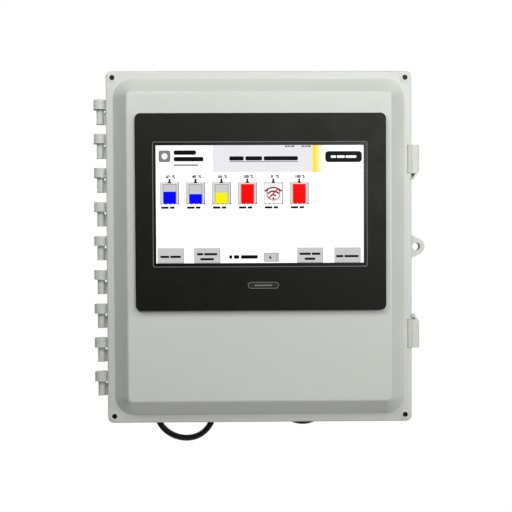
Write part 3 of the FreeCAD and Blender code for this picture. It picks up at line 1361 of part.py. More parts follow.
def make_jumper_cord():
    points = cord_points()
    edges, radii = cord_edges(points)
    path = Part.Wire(edges)
    radius = number("cord_diameter / 2")
    ring = Part.Circle(points[0], points[1] - points[0], radius).toShape()
    tube = path.makePipeShell([Part.Wire([ring])], True, False)
    expected = math.pi * radius**2 * path.Length
    print("cord length %.1f mm, radii %s" % (path.Length, ", ".join("%.1f" % r for r in radii)))
    print("cord volume %.0f mm3, section times length %.0f mm3" % (tube.Volume, expected))
    if abs(tube.Volume - expected) > 0.01 * expected:
        raise RuntimeError("the cord's volume is wrong")
    cord = doc.addObject("Part::Feature", "jumper_cord_tube")
    cord.Shape = tube
    cord.Placement = FreeCAD.Placement()
    node("jumper_cord", cord)


# ---------------------------------------------------------------- whole panel


def check_document():
    """Stops if any object failed or any sub-part has a bad shape."""
    for thing in doc.Objects:
        if "Invalid" in thing.State or "Error" in thing.State:
            raise RuntimeError("%s is %s" % (thing.Name, thing.State))
    for label, thing in nodes.items():
        if thing.Shape.isNull() or not thing.Shape.isValid() or not thing.Shape.Solids:
            raise RuntimeError(label + " has a bad shape")


def write_nodes():
    os.makedirs("parts", exist_ok=True)
    for label, thing in nodes.items():
        thing.Shape.exportStep("parts/%s.step" % label)
        print("%-24s %2d solids %10.0f mm3" % (label, len(thing.Shape.Solids), thing.Shape.Volume))


def main():
    fill_sheet()
    make_enclosure_body()
    make_padlock_lug("body_padlock_lug", "parting - lug_deep", "body_flange_width")
    make_mounting_feet()
    make_cover()
    make_padlock_lug("cover_padlock_lug", "parting", "cover_width")
    make_cover_gasket()
    make_hinge_pins()
    make_corner_fasteners()
    make_latch("upper_latch", 1)
    make_latch("lower_latch", -1)
    make_back_panel()
    make_din_rail()
    make_power_supply()
    make_controller()
    make_circuit_breaker()
    make_breaker_toggle()
    make_terminals()
    make_bezel()
    window_panel("touch_overlay", "overlay_margin", "overlay_back", "overlay_front")
    window_panel("lcd_module", "display_margin", "display_back", "display_front")
    make_hmi_gasket()
    make_rear_housing()
    make_main_board()
    make_clamps()
    make_ports()
    make_badge()
    make_gland("left", "gland_left_x")
    make_gland("right", "gland_right_x")
    make_spare_gland()
    make_jumper_cord()
    doc.recompute()
    check_document()
    write_nodes()


main()
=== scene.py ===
"""The looks of a wall-mounted control box with a touch terminal in its hinged cover.

Places are in metres in the frame of the CAD model, except where a comment says millimetres: X to the right,
Z up, and the wall is the plane y = 0. The front of the box looks along -Y.
"""

import math

import bmesh
import bpy
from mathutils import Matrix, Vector


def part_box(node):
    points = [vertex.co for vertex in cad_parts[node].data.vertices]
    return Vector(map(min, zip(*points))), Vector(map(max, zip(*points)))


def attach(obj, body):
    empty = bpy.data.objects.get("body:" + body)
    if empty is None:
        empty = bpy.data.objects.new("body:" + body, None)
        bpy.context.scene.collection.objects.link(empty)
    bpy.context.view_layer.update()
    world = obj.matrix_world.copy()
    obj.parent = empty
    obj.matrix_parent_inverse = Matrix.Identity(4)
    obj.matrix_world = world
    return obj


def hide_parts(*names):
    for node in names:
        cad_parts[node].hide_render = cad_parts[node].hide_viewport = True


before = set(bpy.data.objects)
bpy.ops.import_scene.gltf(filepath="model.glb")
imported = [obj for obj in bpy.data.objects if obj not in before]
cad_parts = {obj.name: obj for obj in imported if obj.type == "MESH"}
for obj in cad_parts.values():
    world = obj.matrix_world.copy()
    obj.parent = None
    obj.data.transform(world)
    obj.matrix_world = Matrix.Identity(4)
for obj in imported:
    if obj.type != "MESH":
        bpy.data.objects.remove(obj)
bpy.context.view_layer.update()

MM = 0.001


# ---------------------------------------------------------------- camera

# The camera stands in front of the box, level with its middle. It looks slightly down and to the right and
# is slightly rolled, and the shift brings the box back to the middle of the picture.
CAMERA_PLACE = (0.0006, -1.210, -0.002)
CAMERA_LENS = 63.47
CAMERA_SENSOR = 36.0
CAMERA_PITCH = math.radians(-1.245)
CAMERA_ROLL = math.radians(0.246)
CAMERA_YAW = math.radians(-0.90)
CAMERA_SHIFT = (-0.0357, 0.0244)


def make_camera():
    data = bpy.data.cameras.new("camera")
    data.lens = CAMERA_LENS
    data.sensor_width = CAMERA_SENSOR
    data.shift_x, data.shift_y = CAMERA_SHIFT
    camera = bpy.data.objects.new("camera", data)
    camera.location = CAMERA_PLACE
    camera.rotation_euler = (math.radians(90) + CAMERA_PITCH, CAMERA_ROLL, CAMERA_YAW)
    bpy.context.scene.collection.objects.link(camera)
    bpy.context.scene.camera = camera


make_camera()


# ---------------------------------------------------------------- materials


# How much of a noise's fine detail shows.
NOISE_ROUGHNESS = 0.55


class Surface:
    """A procedural material under construction: a Principled shader fed by noise in object space."""

    def __init__(self, name, roughness=0.5, metallic=0.0, specular=0.5, coat=0.0, coat_roughness=0.03):
        self.material = bpy.data.materials.new(name)
        self.material.use_nodes = True
        self.tree = self.material.node_tree
        self.shader = self.tree.nodes["Principled BSDF"]
        self.set_value("Roughness", roughness)
        self.set_value("Metallic", metallic)
        self.set_value("Specular IOR Level", specular)
        self.set_value("Coat Weight", coat)
        self.set_value("Coat Roughness", coat_roughness)
        self.place = self.tree.nodes.new("ShaderNodeTexCoord").outputs["Object"]
        self.relief = None

    def set_value(self, socket, value):
        self.shader.inputs[socket].default_value = value

    def link(self, source, target):
        self.tree.links.new(source, target)

    def noise(self, scale, stretch=(1, 1, 1), detail=3.0):
        """Noise with `scale` blotches per metre, drawn out along an axis whose stretch is small."""
        mapping = self.tree.nodes.new("ShaderNodeMapping")
        mapping.inputs["Scale"].default_value = stretch
        self.link(self.place, mapping.inputs["Vector"])
        texture = self.tree.nodes.new("ShaderNodeTexNoise")
        texture.inputs["Scale"].default_value = scale
        texture.inputs["Detail"].default_value = detail
        texture.inputs["Roughness"].default_value = NOISE_ROUGHNESS
        self.link(mapping.outputs["Vector"], texture.inputs["Vector"])
        return texture.outputs["Fac"]

    def cells(self, scale):
        """Rounded cells, about `scale` of them per metre."""
        texture = self.tree.nodes.new("ShaderNodeTexVoronoi")
        texture.inputs["Scale"].default_value = scale
        self.link(self.place, texture.inputs["Vector"])
        return texture.outputs["Distance"]

    def spread(self, source, low, high, start=0.3, end=0.7):
        """Maps the part of `source` between start and end onto low to high."""
        span = self.tree.nodes.new("ShaderNodeMapRange")
        span.inputs["From Min"].default_value = start
        span.inputs["From Max"].default_value = end
        span.inputs["To Min"].default_value = low
        span.inputs["To Max"].default_value = high
        self.link(source, span.inputs["Value"])
        return span.outputs["Result"]

    def mix(self, factor, first, second):
        """Blends two colours, each of them a tuple or another node's output."""
        blend = self.tree.nodes.new("ShaderNodeMix")
        blend.data_type = "RGBA"
        self.link(factor, blend.inputs["Factor"])
        for socket, colour in ((blend.inputs[6], first), (blend.inputs[7], second)):
            if isinstance(colour, tuple):
                socket.default_value = (*colour, 1.0)
            else:
                self.link(colour, socket)
        return blend.outputs[2]

    def colour(self, source, first, second, start=0.3, end=0.7):
        """Base colour that goes from first to second over the part of `source` between start and end."""
        mixed = self.mix(self.spread(source, 0.0, 1.0, start, end), first, second)
        self.link(mixed, self.shader.inputs["Base Color"])

    def mottle(self, base, amount, scale, stretch=(1, 1, 1)):
        """Base colour that drifts by plus or minus `amount` between blotches."""
        darker = tuple(channel * (1 - amount) for channel in base)
        lighter = tuple(min(1.0, channel * (1 + amount)) for channel in base)
        self.colour(self.noise(scale, stretch), darker, lighter)

    def vary_roughness(self, low, high, scale, stretch=(1, 1, 1)):
        self.link(self.spread(self.noise(scale, stretch), low, high), self.shader.inputs["Roughness"])

    def bump(self, source, height, strength=1.0):
        """Adds relief of `height` metres; later calls stack on earlier ones."""
        node = self.tree.nodes.new("ShaderNodeBump")
        node.inputs["Distance"].default_value = height
        node.inputs["Strength"].default_value = strength
        self.link(source, node.inputs["Height"])
        if self.relief is not None:
            self.link(self.relief, node.inputs["Normal"])
        self.relief = node.outputs["Normal"]
        self.link(self.relief, self.shader.inputs["Normal"])

    def glow(self, colour, strength):
        self.link(colour, self.shader.inputs["Emission Color"])
        self.set_value("Emission Strength", strength)


def linear(red, green, blue):
    """A colour given as 0 to 255 display values, as linear light."""
    def channel(value):
        value = value / 255
        return value / 12.92 if value <= 0.04045 else ((value + 0.055) / 1.055) ** 2.4
    return (channel(red), channel(green), channel(blue))


def moulded(name, base, low=0.36, high=0.46, specular=0.5):
    """Moulded thermoplastic: faint colour drift, uneven sheen, and fine orange-peel grain."""
    surface = Surface(name, specular=specular)
    surface.mottle(base, 0.018, 9.0)
    surface.vary_roughness(low, high, 26.0)
    surface.bump(surface.noise(7.0, detail=1.0), 0.0004, 0.35)
    surface.bump(surface.noise(950.0, detail=2.0), 0.00002, 0.5)
    return surface.material


def spark_textured(name, base, specular=0.42, low=0.42, high=0.60):
    """Dark plastic with a matt spark-eroded texture."""
    surface = Surface(name, specular=specular)
    surface.mottle(base, 0.22, 620.0)
    surface.vary_roughness(low, high, 45.0)
    surface.bump(surface.noise(1500.0, detail=3.0), 0.00005, 0.8)
    surface.bump(surface.cells(900.0), 0.00003, 0.5)
    return surface.material


def rolled_metal(name, base, low=0.28, high=0.42, along=(0.06, 1, 1), metallic=1.0):
    """Sheet or bar metal with fine lines left by rolling or drawing."""
    surface = Surface(name, metallic=metallic)
    surface.mottle(base, 0.07, 160.0, along)
    surface.vary_roughness(low, high, 420.0, along)
    surface.bump(surface.noise(1300.0, along, 2.0), 0.000012, 0.6)
    surface.bump(surface.noise(14.0, detail=2.0), 0.00025, 0.2)
    return surface.material


def galvanised(name):
    """Zinc-plated steel with a soft spangle."""
    surface = Surface(name, metallic=0.85)
    surface.colour(surface.cells(120.0), linear(184, 187, 189), linear(203, 206, 206), 0.1, 0.75)
    surface.vary_roughness(0.32, 0.50, 70.0)
    surface.bump(surface.noise(420.0, detail=2.0), 0.00002, 0.5)
    return surface.material


def rubber(name, base):
    surface = Surface(name, specular=0.35)
    surface.mottle(base, 0.16, 90.0)
    surface.vary_roughness(0.62, 0.82, 60.0)
    surface.bump(surface.noise(1100.0, detail=3.0), 0.00006, 0.6)
    return surface.material


def foam(name):
    """Closed-cell foam strip: pitted all over, with painted shade darkening the pits."""
    surface = Surface(name, specular=0.2, roughness=0.9)
    # Painted shade: the colour follows the same cells as the relief, darker in the pits.
    surface.colour(surface.cells(1400.0), linear(30, 30, 31), linear(58, 58, 60), 0.05, 0.6)
    surface.bump(surface.cells(1400.0), 0.0002, 0.8)
    return surface.material


def jacket(name):
    """The cord's PVC jacket: smooth and black, with an uneven sheen."""
    surface = Surface(name, specular=0.45)
    surface.mottle(linear(24, 24, 23), 0.2, 140.0)
    surface.vary_roughness(0.34, 0.48, 85.0)
    surface.bump(surface.noise(900.0, detail=2.0), 0.00002, 0.5)
    return surface.material


def circuit_board(name):
    """Solder mask in two greens, as over bare board and over copper."""
    surface = Surface(name, roughness=0.35, coat=0.3)
    surface.colour(surface.cells(260.0), linear(18, 92, 52), linear(10, 66, 36), 0.28, 0.42)
    surface.bump(surface.cells(260.0), 0.00008, 0.5)
    return surface.material


def touch_glass(name):
    """The overlay's black printed border under smooth film."""
    surface = Surface(name, specular=0.25, coat=0.1, coat_roughness=0.12)
    surface.mottle(linear(14, 14, 14), 0.12, 30.0)
    surface.vary_roughness(0.26, 0.34, 35.0)
    surface.bump(surface.noise(60.0, detail=1.0), 0.00004, 0.15)
    return surface.material


PLASTIC_GREY = linear(214, 216, 210)
SLOT_MATERIALS = {
    "enclosure_plastic": lambda: moulded("enclosure_plastic", PLASTIC_GREY),
    "latch_plastic": lambda: moulded("latch_plastic", linear(216, 218, 211), 0.40, 0.50),
    "stainless": lambda: rolled_metal("stainless", linear(196, 197, 196)),
    "brass": lambda: rolled_metal("brass", linear(205, 172, 104)),
    "black_screw": lambda: rolled_metal("black_screw", linear(34, 34, 34), 0.34, 0.5, (1, 1, 1), 0.5),
    "foam": lambda: foam("foam"),
    "panel_steel": lambda: galvanised("panel_steel"),
    "device_grey": lambda: moulded("device_grey", linear(150, 153, 153), 0.45, 0.58),
    "device_dark": lambda: spark_textured("device_dark", linear(58, 61, 64)),
    "device_white": lambda: moulded("device_white", linear(222, 222, 216), 0.40, 0.52),
    "toggle_black": lambda: moulded("toggle_black", linear(32, 32, 33), 0.30, 0.42),
    "bezel_black": lambda: spark_textured("bezel_black", linear(19, 20, 16), 0.2, 0.36, 0.48),
    "overlay_glass": lambda: touch_glass("overlay_glass"),
    "display": lambda: rolled_metal("display", linear(150, 152, 154), 0.35, 0.5),
    "circuit_board": lambda: circuit_board("circuit_board"),
    "housing_grey": lambda: moulded("housing_grey", linear(92, 95, 98), 0.48, 0.62),
    "connector_green": lambda: moulded("connector_green", linear(40, 130, 76), 0.40, 0.52),
    "connector_metal": lambda: rolled_metal("connector_metal", linear(186, 188, 190), 0.22, 0.36),
    "badge_plate": lambda: spark_textured("badge_plate", linear(26, 27, 25)),
    "gland_black": lambda: moulded("gland_black", linear(20, 21, 21), 0.45, 0.58, specular=0.25),
    "seal_rubber": lambda: rubber("seal_rubber", linear(22, 22, 22)),
    "cord_jacket": lambda: jacket("cord_jacket"),
}
made_materials = {}


def slot_material(name):
    """The finished material of a record slot, made once."""
    if name not in made_materials:
        made_materials[name] = SLOT_MATERIALS[name]()
    return made_materials[name]


def dress_cad_nodes():
    """Gives every carried-over CAD node the finished material of its slot."""
    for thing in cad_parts.values():
        for holder in thing.material_slots:
            holder.material = slot_material(holder.material.name.split(".")[0])


# ---------------------------------------------------------------- cord

CORD_DIAMETER = 0.0077
CORD_ROUTE = (
    (-0.1337, -0.0500, -0.1980),
    (-0.1337, -0.0502, -0.2176),
    (-0.1232, -0.0508, -0.2350),
    (-0.1054, -0.0513, -0.2443),
    (-0.0854, -0.0513, -0.2447),
    (-0.0692, -0.0508, -0.2352),
    (-0.0599, -0.0502, -0.2180),
    (-0.0599, -0.0500, -0.1980),
)


def make_cord():
    """The jumper cord that hangs in a loop between the two cable glands."""
    curve = bpy.data.curves.new("jumper_lead", "CURVE")
    curve.dimensions = "3D"
    curve.bevel_depth = CORD_DIAMETER / 2
    curve.bevel_resolution = 8
    curve.resolution_u = 24
    curve.use_fill_caps = True
    spline = curve.splines.new("NURBS")
    spline.points.add(len(CORD_ROUTE) - 1)
    for point, place in zip(spline.points, CORD_ROUTE):
        point.co = (*place, 1.0)
    spline.order_u = 3
    spline.use_endpoint_u = True
    cord = bpy.data.objects.new("jumper_lead", curve)
    bpy.context.scene.collection.objects.link(cord)
    curve.materials.append(slot_material("cord_jacket"))
    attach(cord, "enclosure")
    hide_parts("jumper_cord")


dress_cad_nodes()
make_cord()


# ---------------------------------------------------------------- mesh helpers


def finish_piece(mesh, name, body, materials):
    """Turns a bmesh into a piece that rides on a body."""
    bmesh.ops.recalc_face_normals(mesh, faces=mesh.faces)
    data = bpy.data.meshes.new(name)
    mesh.to_mesh(data)
    mesh.free()
    for material in materials:
        data.materials.append(material)
    piece = bpy.data.objects.new(name, data)
    bpy.context.scene.collection.objects.link(piece)
    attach(piece, body)


def plate(mesh, outline, back, front, finish=0):
    """A closed plate between two distances forward of the wall; `finish` is the index of its material."""
    rings = [[mesh.verts.new((x, -station, z)) for x, z in outline] for station in (back, front)]
    faces = [mesh.faces.new(rings[0]), mesh.faces.new(rings[1])]
    count = len(outline)
    for index in range(count):
        after = (index + 1) % count
        faces.append(mesh.faces.new((rings[0][index], rings[0][after], rings[1][after], rings[1][index])))
    for face in faces:
        face.material_index = finish


def box_outline(left, right, low, high):
    return [(left, low), (right, low), (right, high), (left, high)]


def rounded_outline(left, right, low, high, radius, steps=6):
    """A rectangle with rounded corners, each of them `steps` straight pieces."""
    corners = ((right, low, -90), (right, high, 0), (left, high, 90), (left, low, 180))
    points = []
    for x, z, start in corners:
        centre_x = x - radius if x == right else x + radius
        centre_z = z - radius if z == high else z + radius
        for step in range(steps + 1):
            angle = math.radians(start + 90 * step / steps)
            points.append((centre_x + radius * math.cos(angle), centre_z + radius * math.sin(angle)))
    return points


def disc_outline(x, z, radius, steps=24):
    angles = [2 * math.pi * step / steps for step in range(steps)]
    return [(x + radius * math.cos(angle), z + radius * math.sin(angle)) for angle in angles]


def arc_outline(x, z, inner, outer, start, end, steps=14):
    """A band of a ring, from one angle to another in degrees."""
    angles = [math.radians(start + (end - start) * step / steps) for step in range(steps + 1)]
    outside = [(x + outer * math.cos(angle), z + outer * math.sin(angle)) for angle in angles]
    inside = [(x + inner * math.cos(angle), z + inner * math.sin(angle)) for angle in reversed(angles)]
    return outside + inside


# ---------------------------------------------------------------- the page on the screen


def lit(name, base, unlit=0.03, strength=1.0):
    """A colour shown by the display: it glows through the film, with the faint drift of its backlight.

    `unlit` is how much of the colour the surface has by itself, without the glow.
    """
    surface = Surface(name, roughness=0.3, specular=0.06)
    drift = surface.spread(surface.noise(16.0, detail=1.0), 0.0, 1.0)
    glowing = surface.mix(drift, tuple(channel * 0.97 for channel in base), base)
    surface.glow(glowing, strength)
    own = tuple(channel * unlit for channel in base)
    dull = surface.mix(drift, tuple(channel * 0.9 for channel in own), own)
    surface.link(dull, surface.shader.inputs["Base Color"])
    surface.bump(surface.cells(1900.0), 0.00001, 0.2)
    return surface.material


def lit_fade(name, left, right, start, end):
    """A lit stripe that fades from one colour at x = left to another at x = right."""
    surface = Surface(name, roughness=0.3, specular=0.06)
    split = surface.tree.nodes.new("ShaderNodeSeparateXYZ")
    surface.link(surface.place, split.inputs["Vector"])
    fade = surface.mix(surface.spread(split.outputs["X"], 0.0, 1.0, left, right), start, end)
    surface.set_value("Base Color", (0.04, 0.04, 0.03, 1.0))
    surface.glow(fade, 1.0)
    return surface.material


# Height of a figure in the built-in font, as a share of the font's size.
DIGIT_HEIGHT = 0.73
# How far a figure's outline is fattened, as a share of its height.
DIGIT_BOLD = 0.08
# Corner radius of a bar that stands for a word, as a share of its height.
WORD_ROUND = 0.3

# Layers of the page, from the back to the front.
SHEET, PANEL, MARK, LINE, TOP = range(5)


class Page:
    """The page the terminal shows. Places on it are millimetres right and down from its top left corner."""

    # The page's size, the x and z of its centre, and the thickness of one layer, in millimetres.
    WIDTH = 224.0
    HEIGHT = 126.9
    CENTRE = (0.7, 46.3)
    LAYER = 0.06

    def __init__(self, front):
        self.front = front
        self.mesh = bmesh.new()
        self.materials = []
        self.index = {}

    def ink(self, name, material):
        """Adds a material that shapes can be drawn in by name."""
        self.index[name] = len(self.materials)
        self.materials.append(material)

    def place(self, right, down):
        """The x and z, in metres, of a place on the page."""
        x = self.CENTRE[0] - self.WIDTH / 2 + right
        z = self.CENTRE[1] + self.HEIGHT / 2 - down
        return x * MM, z * MM

    def add(self, outline, ink, layer):
        """Adds a flat closed shape one layer thick."""
        back = self.front + layer * self.LAYER * MM
        placed = [self.place(*point) for point in outline]
        plate(self.mesh, placed, back, back + self.LAYER * MM, self.index[ink])

    def bar(self, left, top, width, height, ink, layer, radius=0.0):
        if radius:
            self.add(rounded_outline(left, left + width, top, top + height, radius, 4), ink, layer)
        else:
            self.add(box_outline(left, left + width, top, top + height), ink, layer)

    def border(self, left, top, width, height, line, ink, layer):
        self.bar(left, top, width, line, ink, layer)
        self.bar(left, top + height - line, width, line, ink, layer)
        self.bar(left, top + line, line, height - 2 * line, ink, layer)
        self.bar(left + width - line, top + line, line, height - 2 * line, ink, layer)

    def words(self, left, top, lengths, height, gap, ink, layer):
        """Stand-in for a line of words: a row of rounded bars."""
        for length in lengths:
            self.bar(left, top, length, height, ink, layer, height * WORD_ROUND)
            left += length + gap

    def digits(self, text, centre, middle, height, ink, layer):
        """Figures centred at `centre` whose mid-height is at `middle`."""
        curve = bpy.data.curves.new("figures", "FONT")
        curve.body = text
        curve.size = height / DIGIT_HEIGHT * MM
        curve.align_x = "CENTER"
        curve.offset = height * DIGIT_BOLD * MM
        curve.extrude = self.LAYER / 2 * MM
        holder = bpy.data.objects.new("figures", curve)
        data = bpy.data.meshes.new_from_object(holder)
        x, z = self.place(centre, middle + height / 2)
        y = -self.front - (layer + 0.5) * self.LAYER * MM
        before = len(self.mesh.faces)
        for vertex in data.vertices:
            across, up, ahead = vertex.co
            vertex.co = (x + across, y - ahead, z + up)
        self.mesh.from_mesh(data)
        self.mesh.faces.ensure_lookup_table()
        for face in self.mesh.faces[before:]:
            face.material_index = self.index[ink]
        bpy.data.objects.remove(holder)
        bpy.data.curves.remove(curve)
        bpy.data.meshes.remove(data)


# Sizes and places on the page, in millimetres. A box is its left edge, top edge, width and height. A row of
# words is its left edge, top edge, the length of each word, their height and the gap between them.
HEADER_BOX = (61.3, 0.2, 107.7, 28.7)
TITLE_ROW = (79.2, 11.9, (15.5, 18.0, 36.8), 4.5, 1.8)
TITLE_LINE_BOX = (79.2, 17.3, 73.9, 0.6)
CLOCK_ROWS = (
    (139.2, 0.5, (2.8, 2.4, 3.6), 1.4, 0.7),
    (156.8, 0.5, (2.8, 2.4, 3.6), 1.4, 0.7),
)

# Each tank: its frame, the gauge in it, and the reading, the knob over a cone and the label outside it.
TANK_PITCH = 27.94
TANK_LEFT = 5.1
TANK_TOP = 39.5
TANK_WIDTH = 19.6
TANK_HEIGHT = 23.6
TANK_MIDDLE = 9.6
# The lines down a tank's left and right sides reach this far out of its frame, and are this wide.
TANK_LEFT_OUT = 0.4
TANK_LEFT_LINE = 0.45
TANK_RIGHT_OUT = 0.2
TANK_RIGHT_LINE = 0.9
# The dashes along a tank's foot: where each starts and how long it is, how high they are and how far up.
TANK_DASHES = ((0.0, 2.8), (4.2, 3.6), (9.0, 3.6), (13.8, 2.6), (17.6, 3.2))
DASH_HEIGHT = 0.8
DASH_RISE = 0.5
GAUGE_LEFT = 2.4
GAUGE_TOP = 2.2
GAUGE_WIDTH = 14.6
GAUGE_HEIGHT = 20.9
GAUGE_LINE = 0.6
READING_HEIGHT = 3.0
READING_RISE = 5.9
LEVEL_SHIFT = -1.5
PERCENT_SHIFT = 4.5
KNOB_RADIUS = 1.2
KNOB_RISE = 2.4
CONE_TOP = -1.6
CONE_FOOT = 1.1
CONE_TOP_HALF = 0.6
CONE_FOOT_HALF = 2.2
LABEL_INSET = 0.3
LABEL_WORDS = (8.2, 5.0)
LABEL_HEIGHT = 2.3
LABEL_GAP = 1.3
LABEL_DROP = 2.7

# The sign for a lost link. Its dot and ring are placed down from the tank's top.
SIGN_BAND = 1.6
SIGN_BAND_LINE = 0.4
SIGN_DOT_DROP = 17.8
SIGN_DOT_RADIUS = 1.2
SIGN_ARC_RADII = (2.9, 6.9, 10.8)
SIGN_ARC_WIDE = 1.8
SIGN_RING_DROP = 12.6
SIGN_RING_INNER = 6.5
SIGN_RING_OUTER = 7.6
SIGN_BAR_HALF = 4.6
SIGN_BAR_LINE = 0.6

# The keys and the counter along the foot of the page.
KEY_TOP = 110.3
KEY_WIDTH = 28.4
KEY_HEIGHT = 16.5
KEY_EDGE = 0.5
KEY_WORD_HEIGHT = 2.4
KEY_WORD_GAP = 1.2
KEY_WORD_DROP = 9.6
KEY_ROW_PITCH = 5.4
# Each key's left edge, and the lengths of the words in each of its lines.
KEYS = (
    (1.2, ((9.6, 11.4),)),
    (40.5, ((6.6, 14.0), (14.6,))),
    (151.6, ((12.0, 9.2), (11.4,))),
    (192.1, ((7.8, 15.4),)),
)
COUNTER_BOX = (116.2, 115.9, 15.9, 9.7)
COUNTER_ROW = (78.6, 118.4, (3.2, 5.8, 18.2), 3.8, 1.8)
COUNTER_STEP_BOX = (129.6, 116.4, 0.6, 8.7)
COUNTER_MIDDLE = (122.9, 120.7)
COUNTER_FIGURE = 3.3

# Where the yellow stripe beside the header starts, where it starts to fade, and where it has faded out.
FADE_LEFT = 169.0
FADE_START = 171.5
FADE_RIGHT = 181.0
FADE_HEIGHT = 29.0

# The emblems in the two top corners.
TILE_BOX = (3.2, 5.4, 12.6, 12.6)
TILE_CORNER = 2.4
TILE_HOLE = (9.5, 11.7, 3.2)
EMBLEM_BAR_BOXES = ((19.4, 5.4, 24.0, 4.8), (19.4, 12.4, 32.0, 4.8))
EMBLEM_BAR_CORNER = 1.6
EMBLEM_LINE_BOX = (19.4, 20.4, 26.0, 1.7)
EMBLEM_LINE_CORNER = 0.6
TABLET_BOX = (182.6, 6.6, 39.6, 11.8)
TABLET_CORNER = 3.4
TABLET_ROW = (188.6, 11.2, (5.6, 8.4, 11.6), 2.6, 1.0)

# What each tank shows: its level in percent, the share of its gauge that is filled, and the fill's colour.
TANKS = (
    (63, 0.62, "blue"),
    (49, 0.49, "blue"),
    (54, 0.55, "yellow"),
    (100, 1.0, "red"),
    (0, None, None),
    (100, 1.0, "red"),
)


def draw_header(page):
    page.bar(*HEADER_BOX, "header", PANEL)
    page.words(*TITLE_ROW, "black", MARK)
    page.bar(*TITLE_LINE_BOX, "black", MARK)
    for row in CLOCK_ROWS:
        page.words(*row, "dark", MARK)
    page.bar(FADE_LEFT, 0.0, FADE_RIGHT - FADE_LEFT, FADE_HEIGHT, "fade", PANEL)


def draw_emblems(page):
    """Plain shapes in the two top corners: a tile and bars on the left, a dark tablet on the right."""
    page.bar(*TILE_BOX, "mid", PANEL, TILE_CORNER)
    page.add(disc_outline(*TILE_HOLE), "page", MARK)
    for box in EMBLEM_BAR_BOXES:
        page.bar(*box, "black", PANEL, EMBLEM_BAR_CORNER)
    page.bar(*EMBLEM_LINE_BOX, "mid", PANEL, EMBLEM_LINE_CORNER)
    page.bar(*TABLET_BOX, "black", PANEL, TABLET_CORNER)
    page.words(*TABLET_ROW, "page", MARK)


def draw_tank(page, index):
    level, share, ink = TANKS[index]
    left = TANK_LEFT + index * TANK_PITCH
    middle = left + TANK_MIDDLE
    draw_reading(page, level, middle)
    draw_cone(page, middle)
    label_top = TANK_TOP + TANK_HEIGHT + LABEL_DROP
    page.words(left + LABEL_INSET, label_top, LABEL_WORDS, LABEL_HEIGHT, LABEL_GAP, "black", PANEL)
    if ink is None:
        draw_no_signal(page, left, middle)
    else:
        draw_gauge(page, left, share, ink)
    draw_tank_edges(page, left)


def draw_reading(page, level, middle):
    for text, shift in ((str(level), LEVEL_SHIFT), ("%", PERCENT_SHIFT)):
        page.digits(text, middle + shift, TANK_TOP - READING_RISE, READING_HEIGHT, "black", PANEL)


def draw_cone(page, middle):
    """The small round knob over a cone on a tank's top edge."""
    page.add(disc_outline(middle, TANK_TOP - KNOB_RISE, KNOB_RADIUS, 16), "black", TOP)
    page.add([
        (middle - CONE_FOOT_HALF, TANK_TOP + CONE_FOOT),
        (middle - CONE_TOP_HALF, TANK_TOP + CONE_TOP),
        (middle + CONE_TOP_HALF, TANK_TOP + CONE_TOP),
        (middle + CONE_FOOT_HALF, TANK_TOP + CONE_FOOT),
    ], "black", TOP)


def draw_gauge(page, left, share, ink):
    page.bar(left, TANK_TOP, TANK_WIDTH, TANK_HEIGHT, "light", PANEL)
    gauge = (left + GAUGE_LEFT, TANK_TOP + GAUGE_TOP, GAUGE_WIDTH, GAUGE_HEIGHT)
    page.bar(*gauge, "mid_light", MARK)
    filled = GAUGE_HEIGHT * share
    inside = GAUGE_WIDTH - 2 * GAUGE_LINE
    page.bar(gauge[0] + GAUGE_LINE, gauge[1] + GAUGE_HEIGHT - filled, inside, filled, ink, TOP)
    page.border(*gauge, GAUGE_LINE, "mid", LINE)


def draw_tank_edges(page, left):
    """A thin line down each side of a tank, and dashes along its foot."""
    outer_left = left - TANK_LEFT_OUT
    inner_right = left + TANK_WIDTH + TANK_RIGHT_OUT - TANK_RIGHT_LINE
    page.bar(outer_left, TANK_TOP, TANK_LEFT_LINE, TANK_HEIGHT, "mid", MARK)
    page.bar(inner_right, TANK_TOP, TANK_RIGHT_LINE, TANK_HEIGHT, "mid", MARK)
    for start, length in TANK_DASHES:
        page.bar(outer_left + start, TANK_TOP + TANK_HEIGHT - DASH_RISE, length, DASH_HEIGHT, "dark", LINE)


def draw_no_signal(page, left, middle):
    """The fifth tank's sign for a lost link: arcs over a dot, struck out in red."""
    page.bar(left, TANK_TOP, TANK_WIDTH, SIGN_BAND, "light", PANEL)
    page.bar(left, TANK_TOP + SIGN_BAND, TANK_WIDTH, SIGN_BAND_LINE, "mid_light", PANEL)
    dot = TANK_TOP + SIGN_DOT_DROP
    for radius in SIGN_ARC_RADII:
        page.add(arc_outline(middle, dot, radius, radius + SIGN_ARC_WIDE, 220, 320), "dark", PANEL)
    page.add(disc_outline(middle, dot, SIGN_DOT_RADIUS, 18), "black", PANEL)
    ring = TANK_TOP + SIGN_RING_DROP
    # The ring is two halves with a hairline gap, so that each is one simple outline.
    for start, end in ((0, 179.9), (180, 359.9)):
        half = arc_outline(middle, ring, SIGN_RING_INNER, SIGN_RING_OUTER, start, end, 24)
        page.add(half, "sign", MARK)
    long, line = SIGN_BAR_HALF, SIGN_BAR_LINE
    page.add([
        (middle - long - line, ring + long - line),
        (middle + long - line, ring - long - line),
        (middle + long + line, ring - long + line),
        (middle - long + line, ring + long + line),
    ], "sign", LINE)


